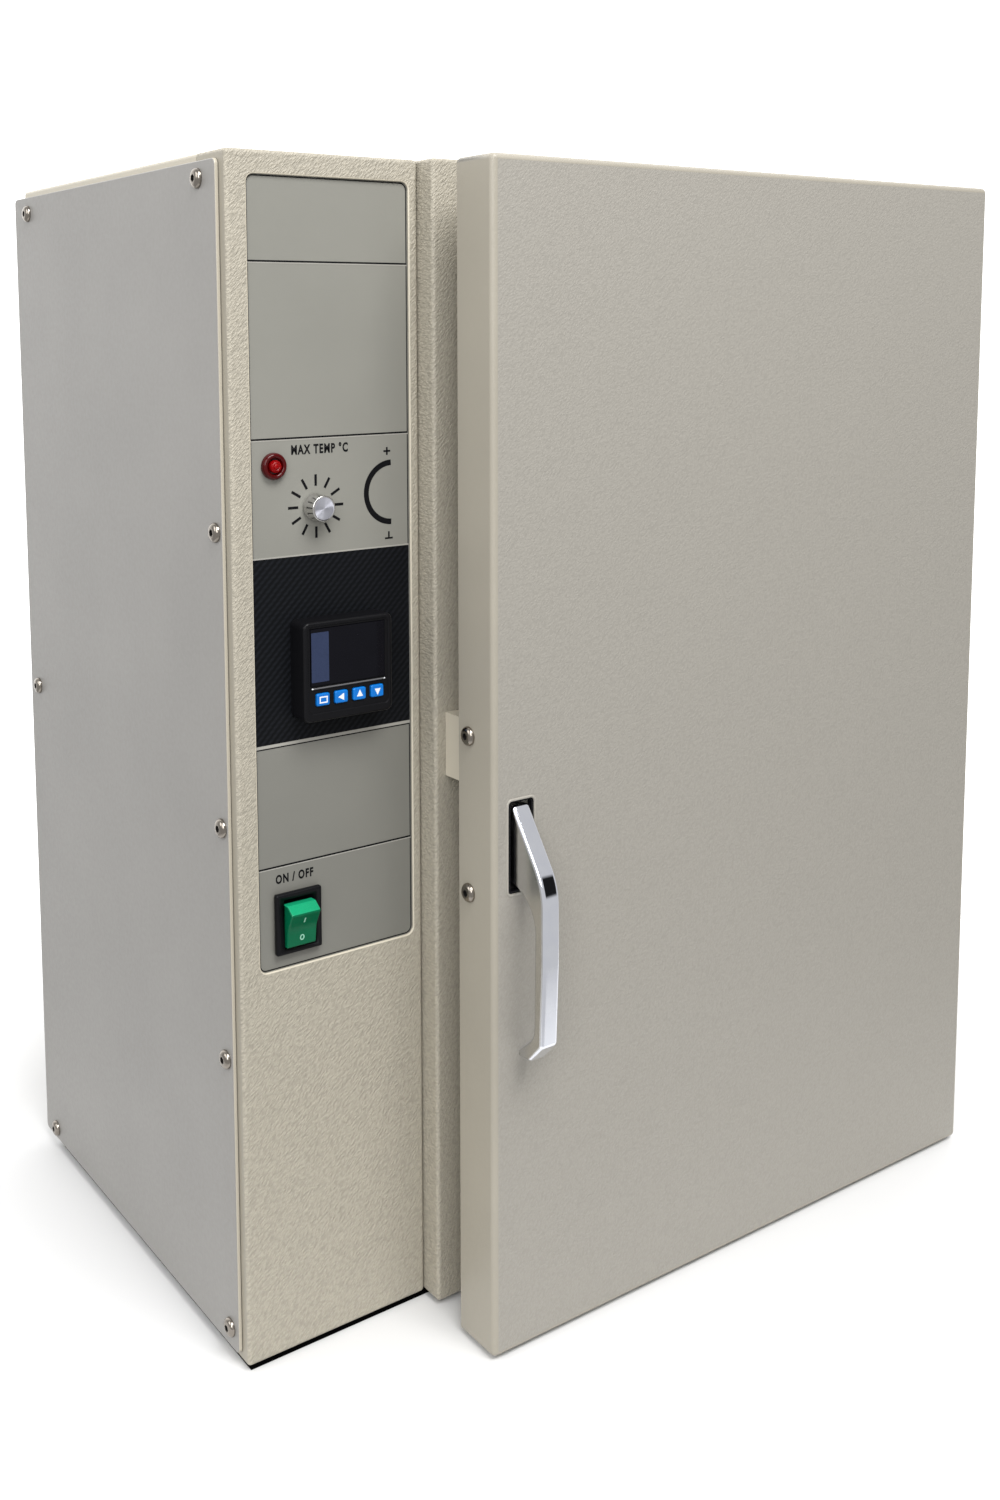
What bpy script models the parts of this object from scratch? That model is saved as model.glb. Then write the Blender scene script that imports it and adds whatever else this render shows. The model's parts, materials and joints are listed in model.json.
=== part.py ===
"""Bench-top laboratory incubator: control column, insulated chamber and side-hung door.

Sizes are in millimetres and become metres where a mesh is made. Positions are counted from the datum, the
lower front left corner of the control column, with X to the right, Y to the rear and Z up. The datum empty
then stands the object on the floor, with the world origin under the middle of its bounding box.
"""

import math

import bmesh
import bpy
from mathutils import Vector

MM = 0.001
GAP = 0.3

# Cabinet casing
CABINET_W = 469.0
CABINET_H = 590.0
COLUMN_W = 105.2
CASING_REAR = 258.0
COLLAR_REAR = 28.0
TRAY_H = 14.0
REAR_FLANGE = 18.0
SHEET = 1.2
FOLD_R = 2.0
FOOT_H = 3.0
FOOT_R = 13.0
FOOT_X = (30.0, 439.0)
FOOT_Y = (24.0, 236.0)
SIDE_T = 2.0
SIDE_Y = (6.0, 268.0)
SIDE_Z = (4.0, 585.8)
SIDE_CORNER_R = 3.0
SIDE_EDGE_R = 0.5
VENT_X = 52.0
VENT_Z = (440.0, 170.0)
VENT_SIZE = (56.0, 3.5)
VENT_R = 1.7
VENT_PITCH = 9.0
VENT_COUNT = 7
INLET = (52.0, 90.0)
INLET_FLANGE = (50.0, 28.0)
INLET_FLANGE_T = 3.0
INLET_BODY = (27.0, 19.6)
INLET_DEPTH = 24.0
INLET_SOCKET_DEPTH = 14.0
INLET_PIN = (2.0, 4.0)

# Front frame and chamber
FRAME_X = 105.6
FRAME_FRONT = -12.0
FRAME_SHEET = 1.4
COLLAR_Y = 6.0
OPENING_X = (160.0, 424.0)
OPENING_Z = (50.0, 540.0)
LINER_T = 1.0
LINER_REAR = 206.0
LINER_R = 8.0
WALL_HOLE_R = 6.0
WOOL_HOLE_R = 8.0
HOLE_SPARE = 0.6

# Air duct on the left chamber wall
BAFFLE_X = 180.0
FAN_Y = 108.0
FAN_Z = 295.0
WHEEL_R = 52.0
WHEEL_X = (163.0, 176.0)
BLADES = 10
SHAFT_R = 3.0
SHAFT_START = 66.0
MOTOR_FLANGE_R = 38.0
MOTOR_R = 28.0
MOTOR_CAP_R = 24.0
MOTOR_L = 52.0
HEATER_RING_R = 68.0
HEATER_X = 170.5
HEATER_TUBE_R = 4.0
PROBE_Y = 150.0
PROBE_Z = 455.0
PROBE_R = 3.0
PROBE_TIP = 212.0
PROBE_NUT_R = 6.5
PROBE_NUT_L = 8.0

# Shelves
SHELF_Z = (215.0, 385.0)
SHELF_X = (184.0, 421.5)
SHELF_Y = (16.0, 196.0)
SHELF_RAIL_R = 2.5
SHELF_WIRE_R = 1.5
SHELF_WIRES = 11
RUNNER_Y = (18.0, 194.0)
RUNNER_LEG = 13.0
RUNNER_FOOT = 9.0

# Control plate behind the column's cut-out, and what it carries
WINDOW_X = (10.7, 99.6)
WINDOW_Z = (198.9, 579.0)
WINDOW_R = 4.0
PLATE_LAP = 2.8
PLATE_T = 1.5
PLATE_Y = SHEET + GAP
CONTROLLER = (55.6, 346.2)
CONTROLLER_SIZE = (49.8, 48.4)
CONTROLLER_BODY = 44.4
CONTROLLER_FRONT = -11.6
CONTROLLER_REAR = 78.0
FIELD_X = (33.1, 78.1)
FIELD_Z = (326.2, 368.2)
FIELD_R = 2.0
FIELD_DEPTH = 0.5
GLASS_X = (34.5, 76.0)
GLASS_Z = (339.6, 367.0)
GLASS_T = 0.8
KEY_Z = 332.7
KEY_X0 = 40.7
KEY_PITCH = 10.2
KEY_SIZE = (7.3, 6.1)
KEY_PROUD = 0.6
KEY_DEPTH = 3.8
KEY_COUNT = 4
ROCKER = (31.6, 221.8)
ROCKER_BEZEL = (25.4, 30.8)
ROCKER_BODY = (21.6, 27.4)
ROCKER_DEPTH = 27.0
ROCKER_CAP = (16.2, 22.6)
ROCKER_RIDGE = (-9.2, 9.4)
ROCKER_SHOULDER = -3.4
ROCKER_MIDDLE = -7.4
ROCKER_FRONT = -2.0
ROCKER_PIVOT_Y = 2.5
ROCKER_TILT = math.radians(17.0)
LAMP = (22.8, 444.4)
LAMP_R = 6.4
KNOB = (45.3, 423.5)
KNOB_R = 6.7
KNOB_FRONT = -7.5
THERMOSTAT_SIZE = (38.0, 27.0, 34.0)
SPINDLE_L = 18.0

# Inside the control column
SINK_X = 78.0
SINK_BASE_T = 5.0
SINK_Y = 150.0
SINK_Z = (110.0, 186.0)
FINS = 7
FIN_PITCH = 10.6
FIN_T = 2.4
RELAY_T = 26.0
RELAY_Y = (160.0, 205.0)
RELAY_Z = (119.0, 177.0)
TERMINAL_X = 28.0
TERMINAL_Y = (200.0, 218.0)
TERMINAL_WAYS = 6
TERMINAL_PITCH = 11.0
TERMINAL_WALL = 1.6
TERMINAL_BASE_Z = 15.0
TERMINAL_TOP_Z = 22.0

# Door
DOOR_X = (103.4, 469.0)
DOOR_Y = (-62.8, -35.2)
DOOR_Z = (-1.0, 587.8)
DOOR_R = 3.0
DOOR_OPENING_X = (137.0, 455.0)
DOOR_OPENING_Z = (17.0, 571.0)
INNER_PANEL_X = (131.5, 461.0)
INNER_PANEL_Z = (11.0, 577.0)
INNER_RAISED_X = (140.0, 452.0)
INNER_RAISED_Z = (20.0, 568.0)
INNER_REAR = -24.0
INNER_T = 1.0
DOOR_WOOL_X = 136.0
GASKET_X = (144.0, 440.0)
GASKET_Z = (34.0, 556.0)
GASKET_W = 12.0
GASKET_R = 14.0
GASKET_EDGE_R = 2.8

# Latch and pull lever
SLOT_X = (112.6, 128.2)
SLOT_Z = (236.1, 282.2)
LATCH_CASE_X = (106.8, 134.5)
LATCH_CASE_Y = (-61.2, -38.0)
LATCH_CASE_Z = (226.0, 322.0)
LATCH_CASE_T = 1.5
STRIKER_WAY_X = (109.5, 131.0)
STRIKER_WAY_Z = (262.0, 320.0)
LEVER_X = (115.2, 125.6)
LEVER_PIVOT = (-56.0, 268.0)
LEVER_PIN_R = 3.0
ROLLER = (-46.0, 276.8)
ROLLER_R = 6.0
ROLLER_W = 5.4
ROLLER_PIN_R = 1.5
LEVER_EDGE = 1.2
STRIKER_X = (111.7, 129.1)
STRIKER_Z = (283.3, 316.0)
STRIKER_FRONT = -54.0

# Hinges on the right
HINGE_AXIS = (470.4, -25.2)
HINGE_Z = (95.0, 495.0)
HINGE_LEAF_T = 2.2
HINGE_LEAF_H = 24.0
KNUCKLE_R = 4.5
HINGE_PIN_R = 2.5

# The bounding box runs from the left panel to the knuckles and from the lever to the side panels
LEVER_FRONT = -86.6
X_CENTRE = (-GAP - SIDE_T + HINGE_AXIS[0] + KNUCKLE_R) / 2
Y_CENTRE = (LEVER_FRONT + SIDE_Y[1]) / 2

PARTS = bpy.data.collections.new("laboratory_incubator")
CUTTERS = bpy.data.collections.new("cutters")
ORIGINS = {}
SIDES = {
    "+X": Vector((1, 0, 0)),
    "-X": Vector((-1, 0, 0)),
    "+Y": Vector((0, 1, 0)),
    "-Y": Vector((0, -1, 0)),
    "+Z": Vector((0, 0, 1)),
    "-Z": Vector((0, 0, -1)),
}
QUARTER = math.pi / 2
TURN_ALONG = {
    "+X": (0.0, QUARTER, 0.0),
    "+Y": (-QUARTER, 0.0, 0.0),
    "-Y": (QUARTER, 0.0, 0.0),
    "+Z": (0.0, 0.0, 0.0),
}
OUTLINE_PLANES = {
    "XY": (0.0, 0.0, 0.0),
    "XZ": (QUARTER, 0.0, 0.0),
    "YZ": (QUARTER, 0.0, QUARTER),
}


# Scene and materials


def clear_scene():
    """Removes every object and links the two collections."""
    for obj in list(bpy.data.objects):
        bpy.data.objects.remove(obj)
    for collection in (PARTS, CUTTERS):
        bpy.context.scene.collection.children.link(collection)


def finish(name, colour, roughness, metallic=0.0):
    """A Principled material of one colour."""
    material = bpy.data.materials.new(name)
    material.use_nodes = True
    shader = material.node_tree.nodes["Principled BSDF"]
    shader.inputs["Base Color"].default_value = (*colour, 1.0)
    shader.inputs["Roughness"].default_value = roughness
    shader.inputs["Metallic"].default_value = metallic
    material.diffuse_color = (*colour, 1.0)
    return material


def finishes():
    """The finishes that the pieces share, by name."""
    return {
        "cream_paint": finish("cream_paint", (0.64, 0.61, 0.53), 0.5),
        "door_paint": finish("door_paint", (0.56, 0.54, 0.50), 0.5),
        "side_paint": finish("side_paint", (0.52, 0.50, 0.47), 0.42),
        "plate_grey": finish("plate_grey", (0.42, 0.42, 0.40), 0.4),
        "stainless": finish("stainless", (0.62, 0.62, 0.61), 0.32, 1.0),
        "galvanised": finish("galvanised", (0.55, 0.56, 0.57), 0.45, 1.0),
        "chrome": finish("chrome", (0.80, 0.80, 0.82), 0.08, 1.0),
        "aluminium": finish("aluminium", (0.75, 0.75, 0.76), 0.28, 1.0),
        "black_plastic": finish("black_plastic", (0.02, 0.02, 0.022), 0.4),
        "dark_glass": finish("dark_glass", (0.01, 0.012, 0.02), 0.06),
        "blue_key": finish("blue_key", (0.02, 0.22, 0.62), 0.35),
        "green_rocker": finish("green_rocker", (0.01, 0.30, 0.12), 0.2),
        "red_lens": finish("red_lens", (0.40, 0.005, 0.01), 0.12),
        "rubber": finish("rubber", (0.03, 0.03, 0.03), 0.7),
        "silicone": finish("silicone", (0.60, 0.58, 0.54), 0.55),
        "mineral_wool": finish("mineral_wool", (0.66, 0.60, 0.42), 0.95),
        "white_plastic": finish("white_plastic", (0.75, 0.75, 0.72), 0.45),
    }


# Placing and joining


def place(obj, collection, at, parent):
    """Puts an object's origin at a datum position, under a parent empty."""
    collection.objects.link(obj)
    obj.parent = parent
    obj.location = (Vector(at) - ORIGINS[parent.name]) * MM
    return obj


def datum_empty():
    """The empty that carries the whole object, standing it on the floor."""
    empty = bpy.data.objects.new("datum", None)
    PARTS.objects.link(empty)
    empty.location = Vector((-X_CENTRE, -Y_CENTRE, FOOT_H)) * MM
    ORIGINS[empty.name] = Vector((0.0, 0.0, 0.0))
    return empty


def axis_empty(name, at, parent):
    """An empty on a joint's axis, which carries the pieces that move there."""
    empty = bpy.data.objects.new(name, None)
    ORIGINS[empty.name] = Vector(at)
    return place(empty, PARTS, at, parent)


def new_piece(name, mesh, at, parent, material):
    """A piece of the object, or a hidden cutter where it has no material."""
    obj = bpy.data.objects.new(name, mesh)
    if material is None:
        obj.hide_render = True
        obj.display_type = "WIRE"
        return place(obj, CUTTERS, at, parent)
    mesh.materials.append(material)
    return place(obj, PARTS, at, parent)


def combine(target, other, operation):
    """Adds a Boolean of another object to a piece."""
    modifier = target.modifiers.new(f"{operation.lower()} {other.name}", "BOOLEAN")
    modifier.object = other
    modifier.operation = operation
    modifier.solver = "EXACT"
    return target


def cut(target, *others):
    """Takes the other objects out of a piece."""
    for other in others:
        combine(target, other, "DIFFERENCE")
    return target


def round_edges(obj, radius, segments):
    """Rounds the edges that turn by more than forty degrees."""
    modifier = obj.modifiers.new("rounded edges", "BEVEL")
    modifier.width = radius * MM
    modifier.segments = segments
    modifier.limit_method = "ANGLE"
    modifier.angle_limit = math.radians(40.0)


# Shapes


def block(name, low, high, parent, material=None, radius=0.0, segments=2, open_sides=()):
    """A box between two corners, with rounded edges and some sides left open."""
    low, high = Vector(low), Vector(high)
    bm = bmesh.new()
    bmesh.ops.create_cube(bm, size=1.0)
    bmesh.ops.scale(bm, vec=(high - low) * MM, verts=bm.verts)
    bm.normal_update()
    gone = [f for f in bm.faces if any(f.normal.dot(SIDES[s]) > 0.9 for s in open_sides)]
    bmesh.ops.delete(bm, geom=gone, context="FACES")
    mesh = bpy.data.meshes.new(name)
    bm.to_mesh(mesh)
    bm.free()
    obj = new_piece(name, mesh, (low + high) / 2, parent, material)
    if radius:
        round_edges(obj, radius, segments)
    return obj


def folded_tray(name, low, high, open_sides, parent, material, thickness=SHEET, radius=FOLD_R):
    """A sheet folded up on every side that isn't open, with rounded folds."""
    obj = block(name, low, high, parent, material, radius, 3, open_sides)
    modifier = obj.modifiers.new("sheet", "SOLIDIFY")
    modifier.thickness = thickness * MM
    modifier.offset = -1.0
    modifier.use_even_offset = True
    return obj


def circle(u, v, radius, steps=20):
    """Points round a circle."""
    angles = [2 * math.pi * i / steps for i in range(steps)]
    return [(u + radius * math.cos(a), v + radius * math.sin(a)) for a in angles]


def rounded(corners, steps=4):
    """A closed outline through corners of (u, v, radius), each rounded by an arc."""
    points = []
    for i, (u, v, radius) in enumerate(corners):
        corner = Vector((u, v))
        if not radius:
            points.append((u, v))
            continue
        before = (Vector(corners[i - 1][:2]) - corner).normalized()
        after = (Vector(corners[(i + 1) % len(corners)][:2]) - corner).normalized()
        half = before.angle(after) / 2
        centre = corner + (before + after).normalized() * radius / math.sin(half)
        start = corner + before * radius / math.tan(half) - centre
        end = corner + after * radius / math.tan(half) - centre
        first = math.atan2(start.y, start.x)
        sweep = (math.atan2(end.y, end.x) - first + math.pi) % (2 * math.pi) - math.pi
        for k in range(steps + 1):
            a = first + sweep * k / steps
            points.append((centre.x + radius * math.cos(a), centre.y + radius * math.sin(a)))
    return points


def rectangle(low, high, radius=0.0, steps=4):
    """A rectangle between two corners, with rounded corners."""
    corners = [(low[0], low[1]), (high[0], low[1]), (high[0], high[1]), (low[0], high[1])]
    return rounded([(u, v, radius) for u, v in corners], steps)


def centred(middle, size, radius=0.0):
    """A small rectangle of a size round a middle point."""
    half = (size[0] / 2, size[1] / 2)
    low = (middle[0] - half[0], middle[1] - half[1])
    high = (middle[0] + half[0], middle[1] + half[1])
    return rectangle(low, high, radius, 2)


def flat_curve(name, loops, depth):
    """A filled flat curve of closed loops, where inner loops are holes."""
    curve = bpy.data.curves.new(name, "CURVE")
    curve.dimensions = "2D"
    curve.fill_mode = "BOTH"
    curve.extrude = depth * MM / 2
    for loop in loops:
        spline = curve.splines.new("POLY")
        spline.points.add(len(loop) - 1)
        for point, (u, v) in zip(spline.points, loop):
            point.co = (u * MM, v * MM, 0.0, 1.0)
        spline.use_cyclic_u = True
    return curve


def mesh_from_curve(name, curve):
    """The closed mesh of a curve, with its caps welded on."""
    holder = bpy.data.objects.new(name, curve)
    bpy.context.scene.collection.objects.link(holder)
    evaluated = holder.evaluated_get(bpy.context.evaluated_depsgraph_get())
    mesh = bpy.data.meshes.new_from_object(evaluated)
    mesh.name = name
    bpy.data.objects.remove(holder)
    bm = bmesh.new()
    bm.from_mesh(mesh)
    bmesh.ops.remove_doubles(bm, verts=bm.verts, dist=1e-6)
    bmesh.ops.recalc_face_normals(bm, faces=bm.faces)
    bm.to_mesh(mesh)
    bm.free()
    return mesh


def extruded(name, loops, plane, span, parent, material=None):
    """A flat outline with holes in a datum plane, pushed out over a span of the third axis."""
    us = [u for u, v in loops[0]]
    vs = [v for u, v in loops[0]]
    middle = ((min(us) + max(us)) / 2, (min(vs) + max(vs)) / 2)
    local = [[(u - middle[0], v - middle[1]) for u, v in loop] for loop in loops]
    depth = sum(span) / 2
    at = {
        "XY": (middle[0], middle[1], depth),
        "XZ": (middle[0], depth, middle[1]),
        "YZ": (depth, middle[0], middle[1]),
    }[plane]
    mesh = mesh_from_curve(name, flat_curve(name, local, span[1] - span[0]))
    obj = new_piece(name, mesh, at, parent, material)
    obj.rotation_euler = OUTLINE_PLANES[plane]
    return obj


def turned(name, profile, at, along, parent, material=None, steps=24):
    """A profile of (radius, height) turned about an axis through a datum position.

    It runs from the top down the outer side. A profile that stays off the axis closes into a ring.
    """
    count = len(profile)
    edges = [(i, i + 1) for i in range(count - 1)]
    if profile[0][0] > 0:
        edges.append((count - 1, 0))
    mesh = bpy.data.meshes.new(name)
    mesh.from_pydata([(r * MM, 0.0, h * MM) for r, h in profile], edges, [])
    obj = new_piece(name, mesh, at, parent, material)
    obj.rotation_euler = TURN_ALONG[along]
    screw = obj.modifiers.new("turned", "SCREW")
    screw.steps = steps
    screw.render_steps = steps
    screw.use_merge_vertices = True
    screw.merge_threshold = 1e-5
    screw.use_smooth_shade = True
    return obj


def rod(name, at, length, radius, along, parent, material=None, steps=16):
    """A plain round bar from a datum position along an axis."""
    profile = [(0.0, length), (radius, length), (radius, 0.0), (0.0, 0.0)]
    return turned(name, profile, at, along, parent, material, steps)


def comb(start, count, pitch, thick, base, root, tip):
    """The outline of a bar with teeth, as (along, out) points."""
    teeth = []
    for i in range(count):
        left = start + pitch * i
        teeth += [(left, root), (left, tip), (left + thick, tip), (left + thick, root)]
    return [(start, base), *teeth[1:-1], (teeth[-1][0], base)]


def tube_curve(name, points, radius, cyclic=False):
    """A round tube through points, given from the object's own origin."""
    curve = bpy.data.curves.new(name, "CURVE")
    curve.dimensions = "3D"
    curve.bevel_depth = radius * MM
    curve.bevel_resolution = 1
    curve.use_fill_caps = True
    spline = curve.splines.new("POLY")
    spline.points.add(len(points) - 1)
    for point, place_mm in zip(spline.points, points):
        point.co = (*(Vector(place_mm) * MM), 1.0)
    spline.use_cyclic_u = cyclic
    return curve


# Casing


def casing(paint, datum):
    """Base pan, top cover, rear panel, side panels, column front and feet."""
    rear = CASING_REAR
    front = COLLAR_REAR + GAP
    low, high = (0, front, 0), (CABINET_W, rear, TRAY_H)
    folded_tray("base_pan", low, high, ("+Z", "-Y"), datum, paint["galvanised"])
    low, high = (0, front, CABINET_H - TRAY_H), (CABINET_W, rear, CABINET_H)
    folded_tray("top_cover", low, high, ("-Z", "-Y"), datum, paint["cream_paint"])
    rear_panel(paint, datum)
    partition_wall(paint, datum)
    for name, x in (("left_side_panel", -GAP - SIDE_T), ("right_side_panel", CABINET_W + GAP)):
        sheet = rectangle((SIDE_Y[0], SIDE_Z[0]), (SIDE_Y[1], SIDE_Z[1]), SIDE_CORNER_R)
        panel = extruded(name, [sheet], "YZ", (x, x + SIDE_T), datum, paint["side_paint"])
        round_edges(panel, SIDE_EDGE_R, 1)
    low, high = (0, 0, 0), (COLUMN_W, COLLAR_REAR, CABINET_H)
    column = folded_tray("column_front", low, high, ("+Y",), datum, paint["cream_paint"])
    window = rectangle((WINDOW_X[0], WINDOW_Z[0]), (WINDOW_X[1], WINDOW_Z[1]), WINDOW_R)
    cut(column, extruded("column_window", [window], "XZ", (-5, 10), datum))
    feet(paint, datum)


def rear_panel(paint, datum):
    """The rear wall between base pan and top cover, with vent slots behind the column and a mains cut-out."""
    low = (0, CASING_REAR - REAR_FLANGE, TRAY_H + GAP)
    high = (CABINET_W, CASING_REAR, CABINET_H - TRAY_H - GAP)
    panel = folded_tray("rear_panel", low, high, ("-Y", "+Z", "-Z"), datum, paint["cream_paint"])
    rows = [z + VENT_PITCH * i for z in VENT_Z for i in range(VENT_COUNT)]
    slots = [centred((VENT_X, z), VENT_SIZE, VENT_R) for z in rows]
    mains = centred(INLET, (INLET_BODY[0] + 2 * GAP, INLET_BODY[1] + 2 * GAP))
    holes = [*slots, mains]
    cut(panel, extruded("rear_holes", holes, "XZ", (CASING_REAR - 6, CASING_REAR + 6), datum))


def partition_wall(paint, datum):
    """The sheet between control column and chamber section, with holes for fan shaft and probe."""
    inset = SHEET + 0.4
    low, high = (COLLAR_REAR + GAP, inset), (CASING_REAR - inset, CABINET_H - inset)
    outline = rectangle(low, high, FOLD_R)
    holes = [circle(FAN_Y, FAN_Z, WALL_HOLE_R), circle(PROBE_Y, PROBE_Z, PROBE_R + HOLE_SPARE, 12)]
    span = (FRAME_X, FRAME_X + SHEET)
    extruded("partition_wall", [outline, *holes], "YZ", span, datum, paint["galvanised"])


def feet(paint, datum):
    """Four low rubber pads under the corners."""
    top, bottom = FOOT_H - GAP, 0.0
    profile = [(0, top), (FOOT_R - 0.8, top), (FOOT_R, top - 0.8), (FOOT_R - 1.0, bottom), (0, bottom)]
    for side, x in zip(("left", "right"), FOOT_X):
        for end, y in zip(("front", "rear"), FOOT_Y):
            turned(f"foot_{end}_{side}", profile, (x, y, -FOOT_H), "+Z", datum, paint["rubber"])


# Chamber


def front_frame(paint, datum):
    """The folded frame round the chamber opening, with a collar that meets the liner."""
    low, high = (FRAME_X, FRAME_FRONT, 0), (CABINET_W, COLLAR_REAR, CABINET_H)
    frame = folded_tray("front_frame", low, high, ("+Y",), datum, paint["cream_paint"], FRAME_SHEET)
    t = FRAME_SHEET
    outer = rectangle((OPENING_X[0] - t, OPENING_Z[0] - t), (OPENING_X[1] + t, OPENING_Z[1] + t), LINER_R)
    inner = rectangle((OPENING_X[0], OPENING_Z[0]), (OPENING_X[1], OPENING_Z[1]), LINER_R - t)
    collar = extruded("frame_collar", [outer, inner], "XZ", (FRAME_FRONT + t / 2, COLLAR_Y), datum)
    opening = extruded("frame_opening", [inner], "XZ", (FRAME_FRONT - 10, COLLAR_Y + 10), datum)
    combine(frame, collar, "UNION")
    cut(frame, opening)


def chamber(paint, datum):
    """Stainless liner and the mineral wool round it."""
    front, t = COLLAR_Y + GAP, LINER_T
    low = (OPENING_X[0] - t, front, OPENING_Z[0] - t)
    high = (OPENING_X[1] + t, LINER_REAR, OPENING_Z[1] + t)
    liner = folded_tray("chamber_liner", low, high, ("-Y",), datum, paint["stainless"], t, LINER_R)
    left = OPENING_X[0] - 6
    shaft_hole = rod("liner_shaft_hole", (left, FAN_Y, FAN_Z), 12, WALL_HOLE_R, "+X", datum)
    hole_r = PROBE_R + HOLE_SPARE
    probe_hole = rod("liner_probe_hole", (left, PROBE_Y, PROBE_Z), 12, hole_r, "+X", datum, steps=12)
    cut(liner, shaft_hole, probe_hole)

    wool_low = (FRAME_X + SHEET + 0.6, COLLAR_Y + 2, 1.8)
    wool_high = (CABINET_W - SHEET - 0.6, CASING_REAR - 1.8, CABINET_H - 1.8)
    wool = block("chamber_insulation", wool_low, wool_high, datum, paint["mineral_wool"], FOLD_R, 1)
    grown = Vector((GAP, 0, GAP))
    cavity_high = Vector(high) + Vector((GAP, GAP, GAP))
    cavity = block("wool_cavity", Vector(low) - grown - Vector((0, 10, 0)), cavity_high, datum)
    start = FRAME_X - 5
    length = OPENING_X[0] - start + 5
    shaft_way = rod("wool_shaft_hole", (start, FAN_Y, FAN_Z), length, WOOL_HOLE_R, "+X", datum)
    probe_way = rod("wool_probe_hole", (start, PROBE_Y, PROBE_Z), length, PROBE_R + 1, "+X", datum, steps=12)
    cut(wool, cavity, shaft_way, probe_way)


def air_duct(paint, datum):
    """Baffle, fan motor, heater and probe on the left chamber wall."""
    baffle(paint, datum)
    bore, face = SHAFT_R + HOLE_SPARE, FRAME_X - GAP
    motor = [
        (bore, MOTOR_L),
        (MOTOR_FLANGE_R, MOTOR_L),
        (MOTOR_FLANGE_R, MOTOR_L - 3),
        (MOTOR_R, MOTOR_L - 5),
        (MOTOR_R, 3),
        (MOTOR_CAP_R, 0),
        (bore, 0),
    ]
    turned("fan_motor", motor, (face - MOTOR_L, FAN_Y, FAN_Z), "+X", datum, paint["galvanised"])
    heater(paint, datum)
    sheath = [
        (0, PROBE_TIP),
        (PROBE_R - 1.2, PROBE_TIP),
        (PROBE_R, PROBE_TIP - 2),
        (PROBE_R, face),
        (PROBE_NUT_R, face),
        (PROBE_NUT_R, face - PROBE_NUT_L),
        (0, face - PROBE_NUT_L),
    ]
    turned("temperature_probe", sheath, (0, PROBE_Y, PROBE_Z), "+X", datum, paint["stainless"], 12)


def baffle(paint, datum):
    """The perforated sheet in front of the fan: an intake over the wheel and outlets above and below."""
    outline = rectangle((7.5, OPENING_Z[0] + GAP), (LINER_REAR - 1.5, OPENING_Z[1] - GAP), LINER_R)
    pitch, height, radius = 11.0, 5.0, 2.4
    reach = WHEEL_R - 8.0
    chords = [(pitch * i, 2 * math.sqrt(reach**2 - (pitch * i) ** 2)) for i in range(-3, 4)]
    intake = [centred((FAN_Y, FAN_Z + up), (width, height), radius) for up, width in chords]
    rows = [z + pitch * i for z in (85.0, 480.0) for i in range(3)]
    outlets = [centred((FAN_Y, z), (120.0, height), radius) for z in rows]
    probe = circle(PROBE_Y, PROBE_Z, PROBE_R + HOLE_SPARE, 12)
    loops = [outline, *intake, *outlets, probe]
    extruded("air_baffle", loops, "YZ", (BAFFLE_X, BAFFLE_X + SHEET), datum, paint["stainless"])


def heater(paint, datum):
    """A tubular heater bent round the fan wheel, both ends turned back to the liner wall."""
    steps, opening = 22, math.radians(50.0)
    start = -QUARTER + opening / 2
    sweep = 2 * math.pi - opening
    angles = [start + sweep * i / steps for i in range(steps + 1)]
    ring = [(0.0, HEATER_RING_R * math.cos(a), HEATER_RING_R * math.sin(a)) for a in angles]
    wall = OPENING_X[0] + GAP - HEATER_X
    ends = [(wall, ring[i][1], ring[i][2]) for i in (0, -1)]
    curve = tube_curve("heater_element", [ends[0], *ring, ends[1]], HEATER_TUBE_R)
    curve.materials.append(paint["stainless"])
    obj = bpy.data.objects.new("heater_element", curve)
    place(obj, PARTS, (HEATER_X, FAN_Y, FAN_Z), datum)


def fan(paint, datum):
    """Fan shaft and radial wheel, on the fan's axis."""
    axis = axis_empty("fan_axis", (WHEEL_X[0], FAN_Y, FAN_Z), datum)
    length = WHEEL_X[1] + 2 - SHAFT_START
    rod("fan_shaft", (SHAFT_START, FAN_Y, FAN_Z), length, SHAFT_R, "+X", axis, paint["galvanised"])
    bore = SHAFT_R + GAP
    depth = WHEEL_X[1] - WHEEL_X[0]
    profile = [(bore, depth), (9, depth), (9, 2.0), (WHEEL_R, 2.0), (WHEEL_R, 0.5), (11, 0), (bore, 0)]
    wheel = turned("fan_wheel", profile, (WHEEL_X[0], FAN_Y, FAN_Z), "+X", axis, paint["aluminium"], 24)
    blades = [fan_blade(2 * math.pi * i / BLADES) for i in range(BLADES)]
    span = (WHEEL_X[0] + 1.2, WHEEL_X[1])
    combine(wheel, extruded("fan_blades", blades, "YZ", span, axis), "UNION")


def fan_blade(turn, inner=24.0, outer=50.0, lean=math.radians(38.0), thickness=1.4, steps=4):
    """The outline of one backward-leaning blade, whose angle grows evenly with its radius."""
    sides = []
    for side in (-0.5, 0.5):
        points = []
        for i in range(steps + 1):
            r = inner + (outer - inner) * i / steps
            a = turn + lean * i / steps + side * thickness / r
            points.append((FAN_Y + r * math.cos(a), FAN_Z + r * math.sin(a)))
        sides.append(points)
    return sides[0] + sides[1][::-1]


def shelves(paint, datum):
    """Two wire shelves on four angle runners."""
    for level, z in zip(("lower", "upper"), SHELF_Z):
        shelf(f"shelf_{level}", z, paint, datum)
        runner(f"runner_{level}_left", BAFFLE_X + SHEET + GAP, 1, z, paint, datum)
        runner(f"runner_{level}_right", OPENING_X[1] - GAP, -1, z, paint, datum)


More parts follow.
